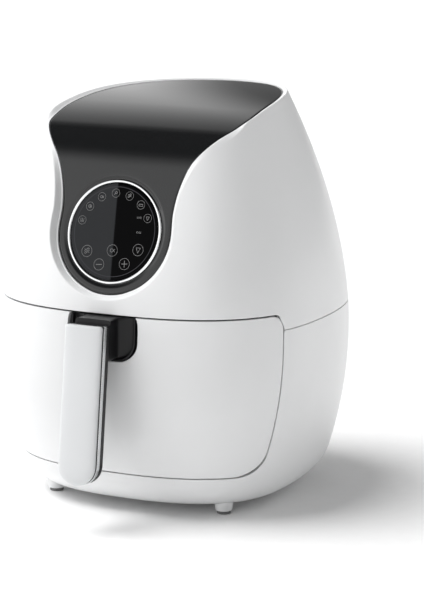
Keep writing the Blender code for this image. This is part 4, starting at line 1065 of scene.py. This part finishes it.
def drawer_front_skin():
    """A ruled patch between the bottom edge and the top edge, which runs round the notch, and its copy
    on the inner side of the wall; both dip at their edges."""
    low, high = opening_bottom + side_gap, opening_top - drawer_gap
    notch = pocket_line(fit_gap, high)
    notch_turn = front_angle(notch[:, 0], notch[:, 1])
    top_end = side_angle(drawer_side(np.array(high)), high)
    left = np.linspace(-top_end, notch_turn[0], 70)[:-1]
    right = np.linspace(notch_turn[-1], top_end, 70)[1:]
    top_share = np.concatenate([left, notch_turn, right]) / top_end
    top_z = np.concatenate([np.full(69, high), notch[:, 1], np.full(69, high)])
    bottom_share = np.linspace(-1, 1, len(top_share))
    rows = layered(60, True, True)[:, None]
    z = low + (top_z - low)[None, :] * rows
    across = bottom_share[None, :] * (1 - rows) + top_share[None, :] * rows
    turn = across * side_angle(drawer_side(z), z)
    flat = casing(turn, z)
    border = np.concatenate([flat[0], flat[-1], flat[:, 0], flat[:, -1]])
    dip = edge_dip(flat, border, edge_round)
    outer = casing(turn, z, dip)
    inner = casing(turn, z, wall - dip * 0.5)
    return folded(np.concatenate([outer, inner[::-1]]).transpose(1, 0, 2)), False, True


put("drawer_shell", [drawer_front_skin()], white_abs, "drawer", "white_plastic", "drawer_front")


# ------------------------------------------------------------------------------------ handle pocket
# A satin-black moulded ABS cup set into the drawer front behind the handle, open at the top. The front's
# notch holds it, and the arm passes through it.

black_abs = moulded("black_abs", (0.011, 0.011, 0.012), 0.36, 0.0004, 0.00003, 0.05, specular=0.28)
pocket_low, pocket_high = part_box("handle_pocket")
pocket_floor = 0.007
pocket_wall = 0.0018
pocket_fillet = 0.0028
pocket_sunk = 0.0009


def pocket_skin():
    """Loops along the U: from the top's centre out across the floor, round the fillet and up the wall to
    the lip, then over and down the outside and back behind the floor."""
    top = pocket_high.z
    centre = np.array([0.0, top])
    floor_y = axis_y - (front_reach - pocket_floor)

    def at_depth(line, y):
        return np.column_stack([line[:, 0], np.full(len(line), y), line[:, 1]])

    def on_front(line, inset):
        return casing(front_angle(line[:, 0], line[:, 1]), line[:, 1], inset)

    edge = pocket_line(0, top)
    foot = pocket_line(-pocket_wall - pocket_fillet, top)
    rows = [at_depth(centre + (foot - centre) * share, floor_y) for share in np.linspace(0, 1, 14)]
    for turn in np.radians(np.linspace(0, 90, 7)[1:]):
        line = pocket_line(-pocket_wall - pocket_fillet * (1 - math.sin(turn)), top)
        rows.append(at_depth(line, floor_y - pocket_fillet * (1 - math.cos(turn))))
    base = rows[-1]
    lip_inner = on_front(pocket_line(-pocket_wall, top), pocket_sunk)
    rows += [base + (lip_inner - base) * share for share in (0.3, 0.6, 0.85, 1.0)]
    rows.append(on_front(pocket_line(-pocket_wall / 2, top), 0.0004))
    lip_outer = on_front(edge, pocket_sunk)
    back_y = floor_y + pocket_wall
    rows += [lip_outer + (at_depth(edge, back_y) - lip_outer) * share for share in (0, 0.5, 1.0)]
    rows += [at_depth(centre + (edge - centre) * share, back_y) for share in (0.66, 0.33, 0.0)]
    return np.array(rows), True, False


put("pocket_cup", [pocket_skin()], black_abs, "drawer", "black_plastic", "handle_pocket")


# ----------------------------------------------------------------- handle cover, trim, core and arm
# The grip is a sandwich that leans out at the foot: a white moulded cover with a crowned face, a
# satin-silver strip, and a black core, held to the drawer by a black arm.

cover_low, cover_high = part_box("handle_cover")
arm_low, arm_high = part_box("handle_arm")
handle_lean = math.radians(7.3)
handle_half = cover_high.x
handle_top_z = cover_high.z
handle_length = (handle_top_z - cover_low.z) / math.cos(handle_lean)
handle_top_y = cover_low.y + handle_length * math.sin(handle_lean)
cover_thickness = 0.0042
shadow_line = 0.0022
trim_thickness = 0.0046
core_thickness = 0.0057
cover_power = 2.6
cover_flat = 0.30
cover_end_power = 2.2
cover_top_round, cover_top_lift = 0.0016, 0.55
cover_foot_round, cover_foot_lift = 0.012, 0.1
trim_depth = cover_thickness + shadow_line
core_depth = trim_depth + trim_thickness
layer_gap = 0.00005
arm_flare_start = 0.45
arm_root_end = 0.35
arm_root_flare = 0.011
arm_rise = 0.0021


def on_handle(x, down, depth):
    """Points on the leaning handle: x, distance down from its top, depth behind its front."""
    y = handle_top_y - down * math.sin(handle_lean) + depth * math.cos(handle_lean)
    z = handle_top_z - down * math.cos(handle_lean) - depth * math.sin(handle_lean)
    return np.stack(np.broadcast_arrays(x, y, z), -1)


def handle_outline(set_in, corner):
    """(down, half-width) pairs: a small round at the top corners, straight sides, a full round foot."""
    side = handle_half - set_in
    length = handle_length - set_in
    quarter = np.linspace(0, math.pi / 2, 8)
    top = np.column_stack([corner * (1 - np.cos(quarter)), side - corner * (1 - np.sin(quarter))])
    flank = straight((corner, side), (length - side, side), 45)[1:]
    quarter = np.linspace(0, math.pi / 2, 30)[1:]
    foot = np.column_stack([length - side + side * np.sin(quarter), side * np.cos(quarter)])
    return np.concatenate([top, flank, foot])


def crowned_cover():
    """Across each station the face is half a superellipse of power 2.6, as deep as the cover; the depth
    itself dies away at the top edge and round the foot by superellipses of power 2.2."""
    outline = handle_outline(0, 0.0022)
    down, side = outline[:, :1], outline[:, 1:]

    def swell(distance, over, lowest):
        share = 1 - np.clip(distance / over, 0, 1)
        return lowest + (1 - lowest) * (1 - share**cover_end_power) ** (1 / cover_end_power)

    across = np.sin(np.linspace(-math.pi / 2, math.pi / 2, 41))[None, :]
    bulge = (1 - np.abs(across) ** cover_power) ** (1 / cover_power)
    lift = cover_thickness * (cover_flat + (1 - cover_flat) * bulge)
    lift = lift * swell(down, cover_top_round, cover_top_lift)
    lift = lift * swell(handle_length - down, cover_foot_round, cover_foot_lift)
    face = on_handle(side * across, down + 0 * across, cover_thickness - lift)
    back = on_handle(side * across[:, ::-1] * 0.985, down + 0 * across, cover_thickness)
    return folded(np.concatenate([face, back], axis=1)), False, True


# The cover is the casing's white plastic, toned darker to paint the grey shade it shows: painted shade.
grip_white_painted_shade = moulded("grip_white_painted_shade", (0.64, 0.65, 0.66), 0.3, 0.0005, 0.00002, 0.02, coat=0.2)
put("grip_cover", [crowned_cover()], grip_white_painted_shade, "drawer", "white_plastic", "handle_cover", sharp=50)


def flat_layer(depth, thickness, set_in, bevel):
    """A flat layer of the grip: at each station a rectangle with its corners cut by a bevel, given as
    (share of the half-width, share of the thickness)."""
    outline = handle_outline(set_in, 0.0012)
    down, side = outline[:, 0], np.maximum(outline[:, 1], 1e-5)
    inner = 1 - bevel
    ring = [(-1, 0.1), (-inner, 0), (0, 0), (inner, 0), (1, 0.1)]
    ring += [(1, 0.9), (inner, 1), (0, 1), (-inner, 1), (-1, 0.9)]
    rows = [on_handle(side * across, down, depth + thickness * deep) for across, deep in ring]
    return capped(np.array(rows).transpose(1, 0, 2)), False, True


satin_silver = bright_metal("satin_silver", (0.78, 0.79, 0.80), 0.24, (2600, 2600, 90), 0.00001, 0.12)
trim = flat_layer(trim_depth, trim_thickness - layer_gap, 0.0001, 0.03)
put("grip_trim", [trim], satin_silver, "drawer", "satin_silver", "handle_trim")
core = flat_layer(core_depth, core_thickness, 0.0004, 0.06)
# A thin black layer fills the gap between the cover and the trim: a dark part put in for the gap's
# shadow, painted shade.
gap_shadow_layer = flat_layer(cover_thickness + layer_gap, shadow_line - 2 * layer_gap, 0.0001, 0.02)
put("grip_core", [core, gap_shadow_layer], black_abs, "drawer", "black_plastic", "handle_core")


def arm_skin():
    """The arm from the pocket's floor out to the grip: each station is a rounded rectangle, whose width
    grows by square laws towards the grip and towards the pocket."""
    stations = np.linspace(0, 1, 24)
    wide = handle_half - 0.0006
    flare = np.clip((stations - arm_flare_start) / (1 - arm_flare_start), 0, 1)
    root = np.clip(1 - stations / arm_root_end, 0, 1)
    half = arm_high.x + (wide - arm_high.x) * flare**2 + arm_root_flare * root**2
    x, s = squircle(whole_turn(48), 0.13)
    top = arm_high.z + arm_rise
    z = (top + arm_low.z) / 2 + (top - arm_low.z) / 2 * s
    down = (handle_top_z - z) / math.cos(handle_lean)
    grip_y = on_handle(0.0, down, core_depth + core_thickness)[..., 1] + 0.0002
    back_y = arm_high.y - 0.0002
    pairs = zip(stations, half)
    rows = [np.column_stack([width * x, back_y + (grip_y - back_y) * share, z]) for share, width in pairs]
    return capped(np.array(rows)), False, True


put("grip_arm", [arm_skin()], black_abs, "drawer", "black_plastic", "handle_arm")


# ----------------------------------------------------------------------------- feet and rubber pads
# Four short white posts moulded with the base, each with a grey rubber pad pressed into its end. They
# run up to the rounded underside.

def turned_skin(profile, centre, count=64):
    """A shape turned about an upright axis from (radius, z) pairs."""
    turn = whole_turn(count)
    x, y = centre
    sine, cosine = np.sin(turn), np.cos(turn)
    rows = [(x + radius * sine, y + radius * cosine, z + 0 * turn) for radius, z in profile]
    return np.array(rows).transpose(0, 2, 1)


def underside(x, y):
    """Height of the casing's rounded underside over each point, by halving the interval 24 times."""
    low = np.full(x.shape, body_bottom)
    high = np.full(x.shape, body_bottom + base_round_up)
    for _ in range(24):
        middle = (low + high) / 2
        width, depth, power = section(middle, 0.0, y < axis_y)
        inside = np.abs(x / width) ** power + np.abs((y - axis_y) / depth) ** power < 1
        high = np.where(inside, middle, high)
        low = np.where(inside, low, middle)
    return high


def foot_post(low, high, place):
    """A post from its rounded foot up to the underside, which its last two loops follow."""
    radius, foot = (high.x - low.x) / 2, low.z
    profile = [(0, foot), (radius - 0.0016, foot), (radius - 0.0010, foot + 0.00025)]
    profile += [(radius - 0.0007, foot + 0.0009), (radius - 0.0004, foot + 0.003)]
    post = turned_skin(profile + [(radius, foot + 0.0062), (radius, 0), (0, 0)], place)
    for row in (-2, -1):
        post[row, :, 2] = underside(post[row, :, 0], post[row, :, 1]) - 0.0001
    post[-3, :, 2] = np.minimum(post[-3, :, 2], post[-2, :, 2] - 0.0004)
    return post, False, True


def foot_pad(low, high, place):
    """A pad with a raised rim that touches the floor."""
    radius, top = (high.x - low.x) / 2, high.z
    profile = [(0, 0.0003), (radius - 0.0022, 0.0003), (radius - 0.0018, 0), (radius - 0.0006, 0)]
    profile += [(radius - 0.0002, 0.0002), (radius, 0.0006), (radius, top - 0.0002)]
    return turned_skin(profile + [(radius - 0.0003, top), (0, top)], place), False, True


rubber = moulded("grey_rubber", (0.17, 0.17, 0.17), 0.75, 0.0003, 0.00006, 0.2, specular=0.3)
for number in range(1, 5):
    pad_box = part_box(f"foot_pad_{number}")
    place = ((pad_box[0].x + pad_box[1].x) / 2, (pad_box[0].y + pad_box[1].y) / 2)
    post = foot_post(*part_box(f"foot_{number}"), place)
    put(f"post_{number}", [post], white_abs, "housing", "white_plastic", f"foot_{number}")
    pad = foot_pad(*pad_box, place)
    put(f"pad_{number}", [pad], rubber, "housing", "grey_rubber", f"foot_pad_{number}")


# --------------------------------------------------------------------------------------- rear grille
# The hot air leaves through a black ABS grille in the back wall: a frame and louvres, one moulding,
# snapped in from outside.

vent_low, vent_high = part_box("rear_vent")
vent_middle = (vent_low.z + vent_high.z) / 2
vent_bars = 7
bar_height = 0.0030


def back_points(x, z, inset):
    """Points of the casing's back over x at height z."""
    width, depth, power = section(z, inset, False)
    y = axis_y + superellipse_side(x, width, depth, power)
    return np.stack(np.broadcast_arrays(x, y, z), -1)


def bar_across(z, high, half, inset_out, inset_in):
    """A bar across the back: its section is a rounded rectangle that follows the wall."""
    out, up = squircle(whole_turn(16), 0.5)
    deep = (inset_out + inset_in) / 2 + out * (inset_in - inset_out) / 2
    places = np.linspace(-half, half, 40)
    rows = np.array([back_points(np.full(16, x), z + up * high / 2, deep) for x in places])
    return capped(rows), False, True


def grille_frame():
    """The frame: loops of a rounded rectangle at four offsets, outer and inner, front and back."""
    half_x = (vent_high.x - vent_low.x) / 2
    half_z = (vent_high.z - vent_low.z) / 2
    across, up = squircle(whole_turn(120), 0.25)
    loops = (0, 0.0002), (0.0004, -0.0009), (0.0046, -0.0009), (0.0052, 0.0002)
    rows = [
        back_points((half_x - offset) * across, vent_middle + (half_z - offset) * up, inset)
        for offset, inset in loops
    ]
    return np.array(rows), True, True


def grille():
    """The frame, a dark plate at the wall behind the bars that stands in for the shaded opening
    (painted shade), and the bars at an even pitch.
    """
    height = vent_high.z - vent_low.z
    half = (vent_high.x - vent_low.x) / 2 - 0.003
    levels = vent_low.z + height / vent_bars * (np.arange(vent_bars) + 0.5)
    # Painted shade: a black plate on the uncut wall gives the dark look of the opening between the bars.
    painted_shade_plate = bar_across(vent_middle, height - 0.004, half, -0.0002, 0.0004)
    bars = [bar_across(level, bar_height, half, -0.0008, 0.0002) for level in levels]
    return [grille_frame(), painted_shade_plate] + bars


put("air_grille", grille(), black_abs, "housing", "black_plastic", "rear_vent")


# ---------------------------------------------------------------------------------------------- pan
# The drawer's pan: drawn steel with a rolled flange, under a speckled black non-stick coating. It hangs
# from its flange and is screwed to the handle's arm.

pan_low, pan_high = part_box("pan")
pan_flange = 0.004
pan_taper = 0.007
pan_power = 3.4
pan_wall = 0.0015
pan_foot = 0.005
pan_width = pan_high.x - pan_flange
pan_front_reach = axis_y - pan_low.y - pan_flange
pan_back_reach = pan_high.y - axis_y - pan_flange


def non_stick():
    """A matt black coating with pale flecks and the faint orange peel of a sprayed film."""
    material, tree, shader, place = new_finish("non_stick")
    fleck = ramp(tree, cells(tree, place, 700.0), [(0.10, 1.0), (0.16, 0.0)])
    sparse = ramp(tree, noise(tree, place, 260.0), [(0.5, 0.0), (0.6, 1.0)])
    chosen = sums(tree, "MULTIPLY", fleck, sparse)
    tone = mix(tree, chosen, (0.018, 0.018, 0.019, 1), (0.12, 0.12, 0.12, 1))
    peel = noise(tree, place, 500.0, 3.0)
    normal = bumped(tree, peel, 0.3, 0.00004)
    feed(tree, shader, Base_Color=tone, Roughness=between(tree, peel, 0.34, 0.52), Normal=normal)
    return material


def pan_loop(grow, z, count=220):
    """The pan's outline at height z: a superellipse of power 3.4 that tapers towards the floor."""
    shrink = pan_taper * np.clip((pan_high.z - z) / (pan_high.z - pan_low.z), 0, 1)
    turn = whole_turn(count)
    depth = np.where(np.cos(turn) > 0, pan_front_reach, pan_back_reach) - shrink + grow
    width = pan_width - shrink + grow
    return superellipse(turn, width, depth, pan_power, np.full(count, z))


def pan_skin():
    """Loops up the outside, round the flange, down the inside and in to the floor's centre."""
    low, high = pan_low.z, pan_high.z
    floor = low + pan_wall
    quarter = np.radians(np.linspace(0, 90, 8))
    outer_foot = [(-pan_foot * (1 - math.sin(a)), low + pan_foot * (1 - math.cos(a))) for a in quarter]
    inner_foot = [(grow - pan_wall, z + pan_wall) for grow, z in outer_foot[::-1]]
    flange = [(0, 0.0026), (0.0008, 0.0020), (pan_flange - 0.0004, 0.0020), (pan_flange, 0.0014)]
    flange += [(pan_flange - 0.0002, 0.0004), (pan_flange - 0.0008, 0), (0, 0), (-0.0011, 0.0004)]
    flange += [(-pan_wall, 0.0016)]
    profile = [(-pan_width * share, low) for share in (0.9999, 0.6, 0.3)] + outer_foot
    profile += [(0, low + (high - low) * share) for share in (0.3, 0.6, 0.9)]
    profile += [(grow, high - down) for grow, down in flange]
    profile += [(-pan_wall, floor + (high - floor) * share) for share in (0.9, 0.6, 0.3)]
    profile += inner_foot + [(-pan_width * share, floor) for share in (0.3, 0.6, 0.9999)]
    return np.array([pan_loop(grow, z) for grow, z in profile]), False, True


coating = non_stick()
put("pan_body", [pan_skin()], coating, "drawer", "non_stick_coating", "pan")


# --------------------------------------------------------------------------- carried-over CAD pieces
# Everything else keeps its solid and gets the finish of its real material, by the record's slots: sheet
# steel, turned steel, sheathed heater, sintered bushes, circuit boards, silicone and mouldings.

def circuit_board():
    """Green solder mask with a cellular net of tracks and plated pads."""
    material, tree, shader, place = new_finish("circuit_board")
    line = ramp(tree, cells(tree, place, 260.0, "DISTANCE_TO_EDGE"), [(0.03, 1.0), (0.06, 0.0)])
    mask = mix(tree, line, (0.012, 0.07, 0.03, 1), (0.03, 0.16, 0.07, 1))
    pad = ramp(tree, cells(tree, place, 340.0), [(0.16, 1.0), (0.2, 0.0)])
    tone = mix(tree, pad, mask, (0.6, 0.55, 0.4, 1))
    feed(tree, shader, Base_Color=tone, Roughness=between(tree, pad, 0.45, 0.25))
    return material


def finish(material, *names):
    """Puts a material on CAD nodes."""
    for name in names:
        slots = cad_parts[name].data.materials
        slots.clear()
        slots.append(material)


sheet_steel = bright_metal("sheet_steel", (0.56, 0.57, 0.58), 0.34, (60, 60, 1400), 0.00002, 0.18)
turned_steel = bright_metal("machined_steel", (0.6, 0.6, 0.61), 0.25, (1500, 1500, 1500), 0.00001, 0.1)
heater_sheath = bright_metal("heater_sheath", (0.16, 0.15, 0.15), 0.5, (400, 400, 400), 0.00003, 0.4)
bronze = bright_metal("sintered_bronze", (0.48, 0.30, 0.14), 0.45, (2500, 2500, 2500), 0.00004, 0.3)
silicone = moulded("silicone", (0.06, 0.06, 0.06), 0.6, 0.0005, 0.00004, 0.05, specular=0.35)
finish(white_abs, "base_plate", "drawer_deck")
finish(sheet_steel, "chamber_liner", "reflector_plate", "heat_shield", "motor_bracket", "heater_guard")
finish(sheet_steel, "drawer_rail_left", "drawer_rail_right", "latch_spring_left", "latch_spring_right")
finish(turned_steel, "motor_shaft", "motor_housing", "fan_nut", "motor_rotor", "temperature_sensor")
finish(turned_steel, "convection_fan", "handle_screw_1", "handle_screw_2")
finish(heater_sheath, "heating_element")
finish(bronze, "lower_bush", "upper_bush")
finish(circuit_board(), "display_board", "power_board")
finish(black_abs, "display_carrier", "exhaust_duct", "cord_gland", "drawer_switch", "thermal_fuse")
finish(black_abs, "switch_plunger", "cooling_fan")
finish(coating, "crisper_tray")
finish(silicone, *(f"tray_bumper_{number}" for number in range(1, 5)))
